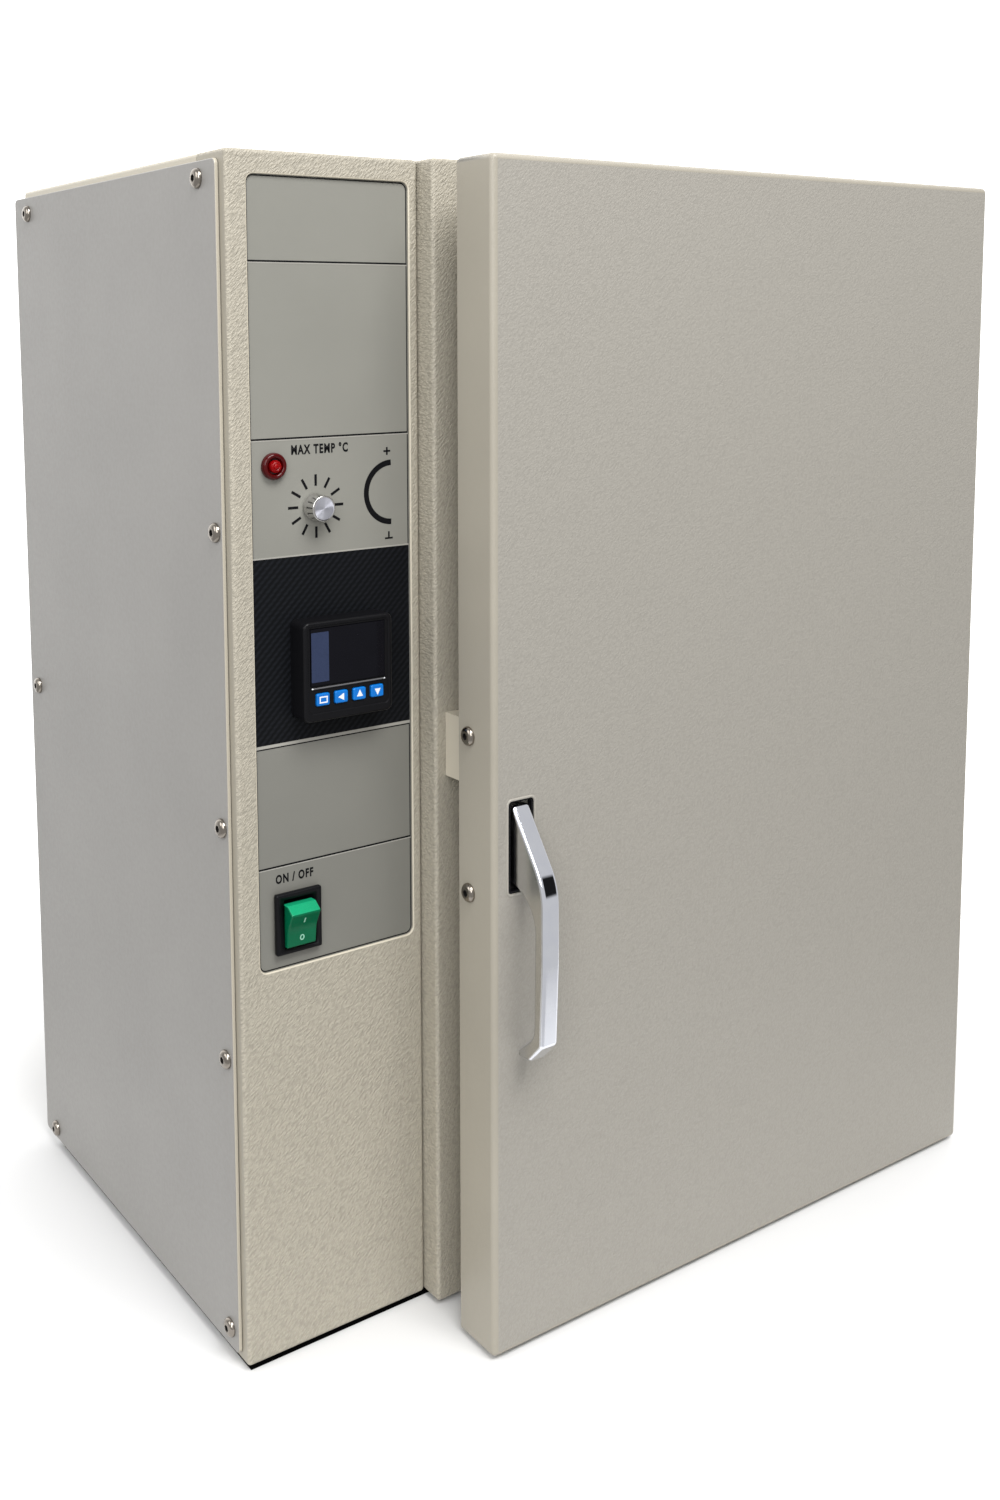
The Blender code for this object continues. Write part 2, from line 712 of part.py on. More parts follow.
def runner(name, wall, side, z, paint, datum):
    """An angle strip on a chamber wall that a shelf rests on."""
    top = z - SHELF_RAIL_R - GAP
    t = SHEET
    corners = [(0, -RUNNER_LEG), (t, -RUNNER_LEG), (t, -t), (RUNNER_FOOT, -t), (RUNNER_FOOT, 0), (0, 0)]
    outline = [(wall + side * u, top + v) for u, v in corners]
    extruded(name, [outline], "XZ", RUNNER_Y, datum, paint["stainless"])


def shelf(name, z, paint, datum):
    """A rail bent round in a rectangle, with wires and one stiffener welded across it."""
    middle = ((SHELF_X[0] + SHELF_X[1]) / 2, (SHELF_Y[0] + SHELF_Y[1]) / 2, z)
    half = ((SHELF_X[1] - SHELF_X[0]) / 2 - SHELF_RAIL_R, (SHELF_Y[1] - SHELF_Y[0]) / 2 - SHELF_RAIL_R)
    path = [(u, v, 0.0) for u, v in rectangle((-half[0], -half[1]), half, 8.0)]
    rail = tube_curve(f"{name}_rail", path, SHELF_RAIL_R, True)
    obj = new_piece(name, mesh_from_curve(name, rail), middle, datum, paint["stainless"])
    pitch = 2 * half[0] / (SHELF_WIRES + 1)
    xs = [middle[0] - half[0] + pitch * (i + 1) for i in range(SHELF_WIRES)]
    wires = [circle(x, z + 1.2, SHELF_WIRE_R, 6) for x in xs]
    span = (middle[1] - half[1], middle[1] + half[1])
    wire_set = extruded(f"{name}_wires", wires, "XZ", span, datum)
    start = (middle[0] - half[0], middle[1], z - 0.9)
    stiffener = rod(f"{name}_stiffener", start, 2 * half[0], SHELF_WIRE_R, "+X", datum, steps=8)
    combine(obj, wire_set, "UNION")
    combine(obj, stiffener, "UNION")


# Control column


def control_plate(paint, datum):
    """The grey plate behind the column's cut-out, with holes for what it carries."""
    lap = PLATE_LAP
    low = (WINDOW_X[0] - lap, WINDOW_Z[0] - lap)
    high = (WINDOW_X[1] + lap, WINDOW_Z[1] + lap)
    loops = [
        rectangle(low, high, WINDOW_R),
        centred(CONTROLLER, (CONTROLLER_BODY + 0.8, CONTROLLER_BODY + 0.8)),
        centred(ROCKER, (ROCKER_BODY[0] + 0.8, ROCKER_BODY[1] + 0.8)),
        circle(*LAMP, 6.0),
        circle(*KNOB, 4.0),
    ]
    extruded("control_plate", loops, "XZ", (PLATE_Y, PLATE_Y + PLATE_T), datum, paint["plate_grey"])


def controller(paint, datum):
    """A panel controller of the 48 mm size, with a window and four keys."""
    x, z = CONTROLLER
    w, h = CONTROLLER_SIZE[0] / 2, CONTROLLER_SIZE[1] / 2
    inner = CONTROLLER_BODY / 2
    seat = PLATE_Y - GAP
    low, high = (x - w, CONTROLLER_FRONT, z - h), (x + w, seat, z + h)
    case = block("controller_case", low, high, datum, paint["black_plastic"], 2.0)
    low, high = (x - inner, seat - 4, z - inner), (x + inner, CONTROLLER_REAR, z + inner)
    combine(case, block("controller_body", low, high, datum), "UNION")
    field = rectangle((FIELD_X[0], FIELD_Z[0]), (FIELD_X[1], FIELD_Z[1]), FIELD_R, 2)
    floor = CONTROLLER_FRONT + FIELD_DEPTH
    cut(case, extruded("controller_field", [field], "XZ", (CONTROLLER_FRONT - 5, floor), datum))
    glass_front = floor - GAP
    low = (GLASS_X[0] - GAP, CONTROLLER_FRONT - 5, GLASS_Z[0] - GAP)
    high = (GLASS_X[1] + GAP, glass_front + GLASS_T + GAP, GLASS_Z[1] + GAP)
    cut(case, block("window_recess", low, high, datum))
    low = (GLASS_X[0], glass_front, GLASS_Z[0])
    high = (GLASS_X[1], glass_front + GLASS_T, GLASS_Z[1])
    block("controller_window", low, high, datum, paint["dark_glass"])
    xs = [KEY_X0 + KEY_PITCH * i for i in range(KEY_COUNT)]
    pocket = (KEY_SIZE[0] + 2 * GAP, KEY_SIZE[1] + 2 * GAP)
    pockets = [centred((key_x, KEY_Z), pocket, 1.2) for key_x in xs]
    span = (CONTROLLER_FRONT - 5, CONTROLLER_FRONT + KEY_DEPTH + 1.2)
    cut(case, extruded("key_pockets", pockets, "XZ", span, datum))
    for i, key_x in enumerate(xs):
        axis = axis_empty(f"key_{i + 1}_axis", (key_x, CONTROLLER_FRONT, KEY_Z), datum)
        outline = centred((key_x, KEY_Z), KEY_SIZE, 1.0)
        span = (CONTROLLER_FRONT - KEY_PROUD, CONTROLLER_FRONT + KEY_DEPTH)
        key = extruded(f"controller_key_{i + 1}", [outline], "XZ", span, axis, paint["blue_key"])
        round_edges(key, 0.4, 1)


def rocker_switch(paint, datum):
    """A snap-in rocker switch: black housing and a tilting green cap with a hollow front and slanted ends."""
    x, z = ROCKER
    w, h = ROCKER_BEZEL[0] / 2, ROCKER_BEZEL[1] / 2
    seat = PLATE_Y - GAP
    low, high = (x - w, ROCKER_FRONT, z - h), (x + w, seat, z + h)
    housing = block("rocker_housing", low, high, datum, paint["black_plastic"], 1.0)
    w, h = ROCKER_BODY[0] / 2, ROCKER_BODY[1] / 2
    body = block("rocker_body", (x - w, seat - 1.5, z - h), (x + w, ROCKER_DEPTH, z + h), datum)
    combine(housing, body, "UNION")
    w, h = ROCKER_CAP[0] / 2 + 0.5, ROCKER_CAP[1] / 2 + 1.1
    cut(housing, block("rocker_pocket", (x - w, ROCKER_FRONT - 5, z - h), (x + w, 10, z + h), datum))
    axis = axis_empty("rocker_axis", (x, ROCKER_PIVOT_Y, z), datum)
    h = ROCKER_CAP[1] / 2
    ridge, up = ROCKER_RIDGE
    upper = [(1.0, h - 1.4, 2), (ROCKER_SHOULDER, h, 0.6), (ridge, up, 0.6)]
    lower = [(u, -v, r) for u, v, r in reversed(upper)]
    neutral = [*upper, (ROCKER_MIDDLE, 0, 20), *lower, (4.0, 0, 6)]
    c, s = math.cos(ROCKER_TILT), math.sin(ROCKER_TILT)
    tilted = [(ROCKER_PIVOT_Y + u * c - v * s, z + u * s + v * c, r) for u, v, r in neutral]
    span = (x - ROCKER_CAP[0] / 2, x + ROCKER_CAP[0] / 2)
    cap = extruded("rocker_cap", [rounded(tilted, 3)], "YZ", span, axis, paint["green_rocker"])
    round_edges(cap, 0.5, 1)


def lamp_and_thermostat(paint, datum):
    """Pilot lamp, safety thermostat and its knob."""
    x, z = LAMP
    seat = PLATE_Y - GAP
    dome = [(0, 4.2), (1.6, 4.0), (2.8, 3.2), (3.4, 1.8)]
    lens = [*dome, (3.8, 2.4), (5.0, 2.9), (6.0, 2.3), (LAMP_R, 1.2), (LAMP_R, 0), (0, 0)]
    turned("lamp_lens", lens, (x, seat, z), "-Y", datum, paint["red_lens"])
    holder = [(0, 28), (3.5, 28), (5.6, 24), (5.6, 0), (0, 0)]
    turned("lamp_holder", holder, (x, PLATE_Y, z), "+Y", datum, paint["white_plastic"], 16)
    x, z = KNOB
    rear = PLATE_Y + PLATE_T + GAP
    w, depth, h = THERMOSTAT_SIZE
    low, high = (x - w / 2, rear, z - h / 2), (x + w / 2, rear + depth, z + h / 2)
    body = block("thermostat_body", low, high, datum, paint["white_plastic"], 2.0, 1)
    bore = rod("thermostat_bore", (x, rear - 5, z), SPINDLE_L + 9, SHAFT_R + HOLE_SPARE, "+Y", datum)
    cut(body, bore)
    axis = axis_empty("knob_axis", (x, KNOB_FRONT, z), datum)
    top = seat - 0.2 - KNOB_FRONT
    end = rear + SPINDLE_L - KNOB_FRONT
    spindle = [(0, end), (SHAFT_R, end), (SHAFT_R, top)]
    grip = [(KNOB_R - 0.5, top), (KNOB_R, top - 0.6), (KNOB_R, 0.8), (KNOB_R - 0.8, 0), (0, 0)]
    turned("thermostat_knob", [*spindle, *grip], (x, KNOB_FRONT, z), "+Y", axis, paint["aluminium"])


def column_inside(paint, datum):
    """Relay on its heat sink, terminal block and mains inlet."""
    sink = comb(SINK_Y, FINS, FIN_PITCH, FIN_T, SINK_X, SINK_X + SINK_BASE_T, FRAME_X - GAP)
    outline = [(x, y) for y, x in sink]
    extruded("relay_heatsink", [outline], "XY", SINK_Z, datum, paint["aluminium"])
    face = SINK_X - GAP
    low, high = (face - RELAY_T, RELAY_Y[0], RELAY_Z[0]), (face, RELAY_Y[1], RELAY_Z[1])
    block("solid_state_relay", low, high, datum, paint["black_plastic"], 2.0, 1)
    base = SHEET + GAP
    walls = (TERMINAL_X, TERMINAL_WAYS, TERMINAL_PITCH, TERMINAL_WALL)
    strip = comb(*walls, base, TERMINAL_BASE_Z, TERMINAL_TOP_Z)
    extruded("terminal_block", [strip], "XZ", TERMINAL_Y, datum, paint["white_plastic"])
    mains_inlet(paint, datum)


def mains_inlet(paint, datum):
    """A three-pin mains inlet in the rear panel, with its socket open to the rear."""
    x, z = INLET
    face = CASING_REAR + GAP
    flange = centred(INLET, INLET_FLANGE, 6.0)
    span = (face, face + INLET_FLANGE_T)
    inlet = extruded("power_inlet", [flange], "XZ", span, datum, paint["black_plastic"])
    w, h = INLET_BODY[0] / 2, INLET_BODY[1] / 2
    low, high = (x - w, face - INLET_DEPTH, z - h), (x + w, face + 2, z + h)
    combine(inlet, block("inlet_body", low, high, datum), "UNION")
    half_mouth = [(12, -8), (12, 3), (7, 8)]
    corners = half_mouth + [(-u, v) for u, v in reversed(half_mouth)]
    mouth = rounded([(x + u, z + v, 1.0) for u, v in corners], 2)
    floor = face - INLET_SOCKET_DEPTH
    cut(inlet, extruded("inlet_socket", [mouth], "XZ", (floor, face + 10), datum))
    pins = [centred((x + dx, z + dz), INLET_PIN) for dx, dz in ((-7, -2), (0, 2), (7, -2))]
    combine(inlet, extruded("inlet_pins", pins, "XZ", (floor - 1, floor + 8.5), datum), "UNION")


# Door


def door(paint, datum):
    """Door pan, inner panel, insulation, gasket and latch, hung on the hinge axis."""
    axis = axis_empty("door_axis", (*HINGE_AXIS, DOOR_Z[0]), datum)
    door_pan(paint, axis)
    inner_panel(paint, axis)
    inset = SHEET + 0.4
    low = (DOOR_WOOL_X, DOOR_Y[0] + inset, DOOR_Z[0] + inset)
    high = (DOOR_X[1] - inset, DOOR_Y[1] - inset, DOOR_Z[1] - inset)
    wool = block("door_insulation", low, high, axis, paint["mineral_wool"], DOOR_R, 1)
    inset = INNER_T + 0.4
    low = (INNER_RAISED_X[0] + inset, DOOR_Y[1] - 10, INNER_RAISED_Z[0] + inset)
    high = (INNER_RAISED_X[1] - inset, INNER_REAR - inset, INNER_RAISED_Z[1] - inset)
    combine(wool, block("door_wool_step", low, high, axis, None, 5.0, 1), "UNION")
    outer = rectangle((GASKET_X[0], GASKET_Z[0]), (GASKET_X[1], GASKET_Z[1]), GASKET_R)
    w = GASKET_W
    inner = rectangle((GASKET_X[0] + w, GASKET_Z[0] + w), (GASKET_X[1] - w, GASKET_Z[1] - w), 4.0)
    span = (INNER_REAR + GAP, FRAME_FRONT - GAP)
    gasket = extruded("door_gasket", [outer, inner], "XZ", span, axis, paint["silicone"])
    round_edges(gasket, GASKET_EDGE_R, 2)
    latch(paint, axis)
    lever(paint, axis)
    return axis


def door_pan(paint, axis):
    """The folded outer pan, turned in round the back, with the lever's slot and a way in for the striker."""
    low, high = Vector((DOOR_X[0], DOOR_Y[0], DOOR_Z[0])), Vector((DOOR_X[1], DOOR_Y[1], DOOR_Z[1]))
    spare = Vector((0, 4 * DOOR_R, 0))
    pan = block("door_pan", low, high + spare, axis, paint["door_paint"], DOOR_R, 3)
    margin = Vector((5, 0, 5))
    behind = Vector((DOOR_X[0], DOOR_Y[1], DOOR_Z[0])) - margin
    trim = block("door_rear_trim", behind, high + margin + 2 * spare, axis)
    wall = Vector((SHEET, SHEET, SHEET))
    hollow = block("door_hollow", low + wall, high - wall, axis, None, DOOR_R - SHEET, 3)
    rear = (DOOR_Y[1] - 5, DOOR_Y[1] + 5)
    back = rectangle((DOOR_OPENING_X[0], DOOR_OPENING_Z[0]), (DOOR_OPENING_X[1], DOOR_OPENING_Z[1]), 6.0)
    back_hole = extruded("door_back_hole", [back], "XZ", rear, axis)
    way_in = rectangle((STRIKER_WAY_X[0], STRIKER_WAY_Z[0]), (STRIKER_WAY_X[1], STRIKER_WAY_Z[1]), 2.0)
    striker_hole = extruded("door_striker_hole", [way_in], "XZ", rear, axis)
    slot = rectangle((SLOT_X[0], SLOT_Z[0]), (SLOT_X[1], SLOT_Z[1]), 2.0)
    slot_hole = extruded("door_slot", [slot], "XZ", (DOOR_Y[0] - 5, DOOR_Y[0] + 5), axis)
    cut(pan, trim, hollow, back_hole, striker_hole, slot_hole)


def inner_panel(paint, axis):
    """The stainless inner panel: a flange on the pan's back and a raised tray that carries the gasket."""
    seat = DOOR_Y[1] + GAP
    low = (INNER_RAISED_X[0], seat, INNER_RAISED_Z[0])
    high = (INNER_RAISED_X[1], INNER_REAR, INNER_RAISED_Z[1])
    panel = folded_tray("door_inner_panel", low, high, ("-Y",), axis, paint["stainless"], INNER_T, 5.0)
    outer = rectangle((INNER_PANEL_X[0], INNER_PANEL_Z[0]), (INNER_PANEL_X[1], INNER_PANEL_Z[1]), 8.0)
    lap = INNER_T / 2
    low = (INNER_RAISED_X[0] + lap, INNER_RAISED_Z[0] + lap)
    high = (INNER_RAISED_X[1] - lap, INNER_RAISED_Z[1] - lap)
    loops = [outer, rectangle(low, high, 4.5)]
    flange = extruded("inner_panel_flange", loops, "XZ", (seat, seat + INNER_T), axis)
    combine(panel, flange, "UNION")


def latch(paint, axis):
    """Latch case behind the slot, the black slot liner and the lever's pin."""
    low, high = (LATCH_CASE_X[0], LATCH_CASE_Z[0]), (LATCH_CASE_X[1], LATCH_CASE_Z[1])
    wall = LATCH_CASE_T
    inside = rectangle((low[0] + wall, low[1] + wall), (high[0] - wall, high[1] - wall), 1.0)
    loops = [rectangle(low, high, 2.0), inside]
    case = extruded("latch_case", loops, "XZ", LATCH_CASE_Y, axis, paint["galvanised"])
    hole = rod("latch_pin_holes", (LATCH_CASE_X[0] - 5, *LEVER_PIVOT), 40, LEVER_PIN_R + GAP, "+X", axis)
    cut(case, hole)
    start = LATCH_CASE_X[0] + 0.1
    length = LATCH_CASE_X[1] + 0.3 - start
    rod("lever_pin", (start, *LEVER_PIVOT), length, LEVER_PIN_R, "+X", axis, paint["galvanised"])
    ring = [(SLOT_X[0] + GAP, SLOT_Z[0] + GAP), (SLOT_X[1] - GAP, SLOT_Z[1] - GAP)]
    hollow = rectangle((SLOT_X[0] + 1.4, SLOT_Z[0] + 1.3), (SLOT_X[1] - 1.4, SLOT_Z[1] - 0.8), 1.0)
    front = (DOOR_Y[0] + 0.2, DOOR_Y[0] + 3.2)
    loops = [rectangle(*ring, 1.8), hollow]
    liner = extruded("slot_liner", loops, "XZ", front, axis, paint["black_plastic"])
    lip = rectangle((SLOT_X[0] - 1.7, SLOT_Z[0] - 1.7), (SLOT_X[1] + 1.7, SLOT_Z[1] + 1.7), 2.5)
    behind = DOOR_Y[0] + SHEET + GAP
    combine(liner, extruded("liner_lip", [lip, hollow], "XZ", (behind, behind + 1.2), axis), "UNION")


def lever(paint, door_axis):
    """The chrome pull lever, its latch roller and the roller's pin, on the lever's own axis."""
    middle = (LEVER_X[0] + LEVER_X[1]) / 2
    axis = axis_empty("lever_axis", (middle, *LEVER_PIVOT), door_axis)
    corners = [
        (-62.6, 279.6, 1.5), (-86.4, 245.2, 34.0), (LEVER_FRONT, 207.0, 60.0), (-85.0, 166.5, 3.0),
        (-77.0, 157.0, 2.5), (-69.2, 156.6, 2.0), (-69.4, 160.6, 2.0), (-78.4, 170.0, 9.0),
        (-79.2, 240.2, 16.0), (-56.0, 240.2, 3.0), (-49.0, 251.0, 6.0), (-48.4, 264.0, 4.0),
        (-41.6, 271.0, 3.0), (-41.6, 281.0, 3.5), (-50.5, 281.0, 3.0), (-53.0, 279.6, 2.0),
    ]
    arm = extruded("handle_lever", [rounded(corners, 4)], "YZ", LEVER_X, axis, paint["chrome"])
    round_edges(arm, LEVER_EDGE, 1)
    bore = rod("lever_bore", (LEVER_X[0] - 5, *LEVER_PIVOT), 22, LEVER_PIN_R + GAP, "+X", axis)
    fork_w = ROLLER_W + 0.8
    fork = rod("lever_fork", (middle - fork_w / 2, *ROLLER), fork_w, ROLLER_R + 0.7, "+X", axis, steps=24)
    bore_r = ROLLER_PIN_R + GAP
    pin_hole = rod("roller_pin_hole", (LEVER_X[0] - 5, *ROLLER), 22, bore_r, "+X", axis, steps=12)
    cut(arm, bore, fork, pin_hole)
    length = LEVER_X[1] - LEVER_X[0] - 0.4
    start = (LEVER_X[0] + 0.2, *ROLLER)
    rod("roller_pin", start, length, ROLLER_PIN_R, "+X", axis, paint["galvanised"], 12)
    roller_axis = axis_empty("roller_axis", (middle, *ROLLER), axis)
    ring = [(bore_r, ROLLER_W), (ROLLER_R, ROLLER_W), (ROLLER_R, 0), (bore_r, 0)]
    turned("latch_roller", ring, (middle - ROLLER_W / 2, *ROLLER), "+X", roller_axis, paint["white_plastic"])


def striker(paint, datum):
    """The block on the front frame that the latch roller seats under, with a rounded nose and a hollow."""
    rear, front = FRAME_FRONT - GAP, STRIKER_FRONT
    low, high = STRIKER_Z
    seat = ROLLER[0]
    corners = [
        (rear, low, 0), (seat + 7, low, 3), (seat + 4, low + 1.6, 3), (seat - 4, low + 1.6, 3),
        (seat - 5.5, low, 1.0), (front, low + 4, 3), (front, high, 4), (rear, high, 0),
    ]
    block_of = extruded("striker", [rounded(corners, 3)], "YZ", STRIKER_X, datum, paint["cream_paint"])
    round_edges(block_of, 0.8, 1)


# Hinges


def hinges(paint, datum, door_axis):
    """Two lift-off hinges: lower knuckle and pin on the cabinet, upper knuckle on the door."""
    x, y = HINGE_AXIS
    hole = circle(x, y, HINGE_PIN_R + GAP, 16)
    for end, z in zip(("lower", "upper"), HINGE_Z):
        cabinet = [hinge_leaf(2.0, 1), hole]
        span = (z - HINGE_LEAF_H, z - GAP / 2)
        extruded(f"hinge_{end}_cabinet_leaf", cabinet, "XY", span, datum, paint["stainless"])
        leaf = [hinge_leaf(DOOR_Y[0] + 6.0, -1), hole]
        span = (z + GAP / 2, z + HINGE_LEAF_H)
        extruded(f"hinge_{end}_door_leaf", leaf, "XY", span, door_axis, paint["stainless"])
        start = (x, y, z - HINGE_LEAF_H + 2)
        rod(f"hinge_{end}_pin", start, 2 * HINGE_LEAF_H - 4, HINGE_PIN_R, "+Z", datum, paint["stainless"])


def hinge_leaf(end, side, steps=16):
    """A flat leaf that runs into its round knuckle; side is +1 to the rear and -1 to the front."""
    x, y = HINGE_AXIS
    half = HINGE_LEAF_T / 2
    root = math.asin(half / KNUCKLE_R)
    start = side * QUARTER - root
    angles = [start - (2 * math.pi - 2 * root) * i / steps for i in range(steps + 1)]
    knuckle = [(x + KNUCKLE_R * math.cos(a), y + KNUCKLE_R * math.sin(a)) for a in angles]
    return [(x - side * half, end), (x + side * half, end), *knuckle]


def main():
    """Builds every piece."""
    clear_scene()
    paint = finishes()
    datum = datum_empty()
    casing(paint, datum)
    front_frame(paint, datum)
    chamber(paint, datum)
    air_duct(paint, datum)
    fan(paint, datum)
    shelves(paint, datum)
    control_plate(paint, datum)
    controller(paint, datum)
    rocker_switch(paint, datum)
    lamp_and_thermostat(paint, datum)
    column_inside(paint, datum)
    striker(paint, datum)
    door_axis = door(paint, datum)
    hinges(paint, datum, door_axis)


main()
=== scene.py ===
"""Looks of a bench-top laboratory incubator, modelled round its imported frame.

Sizes are in millimetres from the datum, the lower front left corner of the control column, with X to the
right, Y to the rear and Z up. Meshes are made in metres in the frame's own axes.
"""

import json
import logging
import math
from collections.abc import Sequence
from dataclasses import dataclass, field
from enum import Enum

import bmesh
import bpy
import numpy as np
from bpy.types import ID, Material, Mesh, Node, NodeSocket, NodeTree, Object
from mathutils import Matrix, Vector

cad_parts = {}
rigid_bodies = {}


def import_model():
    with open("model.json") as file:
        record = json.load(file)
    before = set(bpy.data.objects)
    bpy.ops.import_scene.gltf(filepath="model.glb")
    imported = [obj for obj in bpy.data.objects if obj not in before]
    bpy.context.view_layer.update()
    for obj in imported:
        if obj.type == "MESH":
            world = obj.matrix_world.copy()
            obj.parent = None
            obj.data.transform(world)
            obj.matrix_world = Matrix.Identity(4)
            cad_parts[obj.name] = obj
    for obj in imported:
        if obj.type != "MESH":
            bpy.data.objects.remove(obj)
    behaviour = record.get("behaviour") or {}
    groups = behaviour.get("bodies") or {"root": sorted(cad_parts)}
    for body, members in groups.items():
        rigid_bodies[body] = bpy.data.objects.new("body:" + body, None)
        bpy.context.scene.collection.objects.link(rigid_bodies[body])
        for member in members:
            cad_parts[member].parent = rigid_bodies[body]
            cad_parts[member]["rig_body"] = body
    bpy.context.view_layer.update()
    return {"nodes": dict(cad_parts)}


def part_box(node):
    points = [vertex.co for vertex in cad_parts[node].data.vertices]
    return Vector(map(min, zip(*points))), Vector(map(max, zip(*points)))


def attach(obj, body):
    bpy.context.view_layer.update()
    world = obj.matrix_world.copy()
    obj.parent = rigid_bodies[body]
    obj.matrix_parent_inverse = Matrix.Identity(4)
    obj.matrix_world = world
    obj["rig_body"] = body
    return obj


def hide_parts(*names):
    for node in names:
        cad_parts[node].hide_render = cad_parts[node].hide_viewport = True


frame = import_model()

LOG = logging.getLogger("incubator")
MM = 0.001
DATUM = np.array(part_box("column_front")[0])
CAPITAL_SHARE = 0.69     # a capital's height as a share of the font's size
LETTER_WIDTH = 0.72      # the letters' width as a share of the font's own
LETTER_SPACE = 1.2       # the step from letter to letter, likewise
LETTER_WEIGHT_MM = 0.22  # how far a letter's outline is moved out
MERGE_M = 1e-7           # points closer than this are one point
BACK_EDGE_MM = 0.15      # the rounding of a slab's hidden edge
FRONT_NORMAL = 0.98      # a face whose normal has this much to the front looks straight to it
SCREW_TURN_DEG = 37.0    # each screw of a row is turned this much further
Pair = tuple[float, float]
Triple = tuple[float, float, float]
NO_EDGE: Pair = (0.0, 0.0)
UNIT_SPAN: Pair = (0.0, 1.0)
NOISE_SPAN: Pair = (0.3, 0.7)      # where most values of a noise lie
TWO_NOISE_SPAN: Pair = (0.7, 1.3)  # where most sums of two noises lie


class Side(Enum):
    """A way that a flat feature faces: its local u, v and outward w axes."""

    FRONT = ((1, 0, 0), (0, 0, 1), (0, -1, 0))
    REAR = ((-1, 0, 0), (0, 0, 1), (0, 1, 0))
    LEFT = ((0, -1, 0), (0, 0, 1), (-1, 0, 0))
    RIGHT = ((0, 1, 0), (0, 0, 1), (1, 0, 0))


class KeySign(Enum):
    """What a key shows, in the keys' order: a frame, or an arrow at its angle in degrees."""

    FRAME = None
    LEFT = 180.0
    UP = 90.0
    DOWN = 270.0


# Surfaces


@dataclass
class Surface:
    """Points in datum millimetres, and the faces between them.

    Attributes:
        points: An array of points, one row each.
        faces: Arrays of point numbers, one row for each face.
        finish: For each array of faces, which of the piece's finishes it wears.
    """

    points: np.ndarray
    faces: list[np.ndarray] = field(default_factory=list)
    finish: list[int] = field(default_factory=list)

    def __post_init__(self) -> None:
        """Gives every face the first finish where none is named."""
        self.finish = self.finish or [0] * len(self.faces)

    def __add__(self, other: "Surface") -> "Surface":
        """Both surfaces in one."""
        shifted = [f + len(self.points) for f in other.faces]
        points = np.vstack([self.points, other.points])
        return Surface(points, self.faces + shifted, self.finish + other.finish)


def box_mm(node: str) -> tuple[np.ndarray, np.ndarray]:
    """A node's lowest and highest corners in datum millimetres."""
    low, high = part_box(node)
    return (np.array(low) - DATUM) / MM, (np.array(high) - DATUM) / MM


def centre_of(node: str) -> np.ndarray:
    """The middle of a node's box in datum millimetres."""
    low, high = box_mm(node)
    return (low + high) / 2


def to_side(local: np.ndarray, side: Side, centre: Triple) -> np.ndarray:
    """Local points of u, v and outward w in datum millimetres, facing a side from a centre."""
    return local @ np.array(side.value, float) + np.array(centre, float)


def lean(surface: Surface, pivot: Pair, degrees: float) -> Surface:
    """A surface turned about a line along X, its top towards the front.

    Args:
        surface: The surface to turn.
        pivot: The line's y and z.
        degrees: The angle.

    Returns:
        The turned surface.
    """
    c, s = math.cos(math.radians(degrees)), math.sin(math.radians(degrees))
    turn = np.array([[1, 0, 0], [0, c, s], [0, -s, c]])
    centre = np.array([0.0, *pivot])
    return Surface((surface.points - centre) @ turn + centre, surface.faces, surface.finish)


def grid(points: np.ndarray, wrap_rows: bool = False, wrap_columns: bool = False) -> Surface:
    """Joins a grid of points by four-sided faces.

    Args:
        points: Points by row, column and axis.
        wrap_rows: Joins the last row to the first.
        wrap_columns: Joins the last column to the first.

    Returns:
        The surface.
    """
    rows, columns = points.shape[:2]
    i = np.arange(rows if wrap_rows else rows - 1)
    j = np.arange(columns if wrap_columns else columns - 1)
    a, b = np.meshgrid(i, j, indexing="ij")
    down, across = (a + 1) % rows, (b + 1) % columns
    quads = np.stack([a * columns + b, down * columns + b, down * columns + across, a * columns + across], -1)
    return Surface(points.reshape(-1, 3), [quads.reshape(-1, 4)])


def turned(profile: Sequence[Pair], side: Side, centre: Triple, segments: int = 48) -> Surface:
    """A profile of radius and height, carried round the outward axis in equal angles.

    Args:
        profile: Radius and height, from the seat out to the middle of the face.
        side: The way that the axis points.
        centre: Where the axis starts.
        segments: How many steps go round.

    Returns:
        The surface.
    """
    shape = np.array(profile, float)
    angle = np.linspace(0.0, 2 * math.pi, segments, endpoint=False)
    radius, height = shape[:, :1], shape[:, 1:]
    u, v = radius * np.cos(angle), radius * np.sin(angle)
    local = np.stack([u, v, np.broadcast_to(height, u.shape)], -1)
    surface = grid(local, wrap_columns=True)
    return Surface(to_side(surface.points, side, centre), surface.faces)


def unit(vectors: np.ndarray) -> np.ndarray:
    """Vectors of length one along the given ones, or of length nought."""
    length = np.linalg.norm(vectors, axis=-1, keepdims=True)
    return vectors / np.where(length > 1e-12, length, 1.0)


def arc(degrees: Pair, steps: int) -> np.ndarray:
    """Points on a circle of radius one round the origin, in equal angles."""
    angle = np.radians(np.linspace(*degrees, steps + 1))
    return np.stack([np.cos(angle), np.sin(angle)], -1)


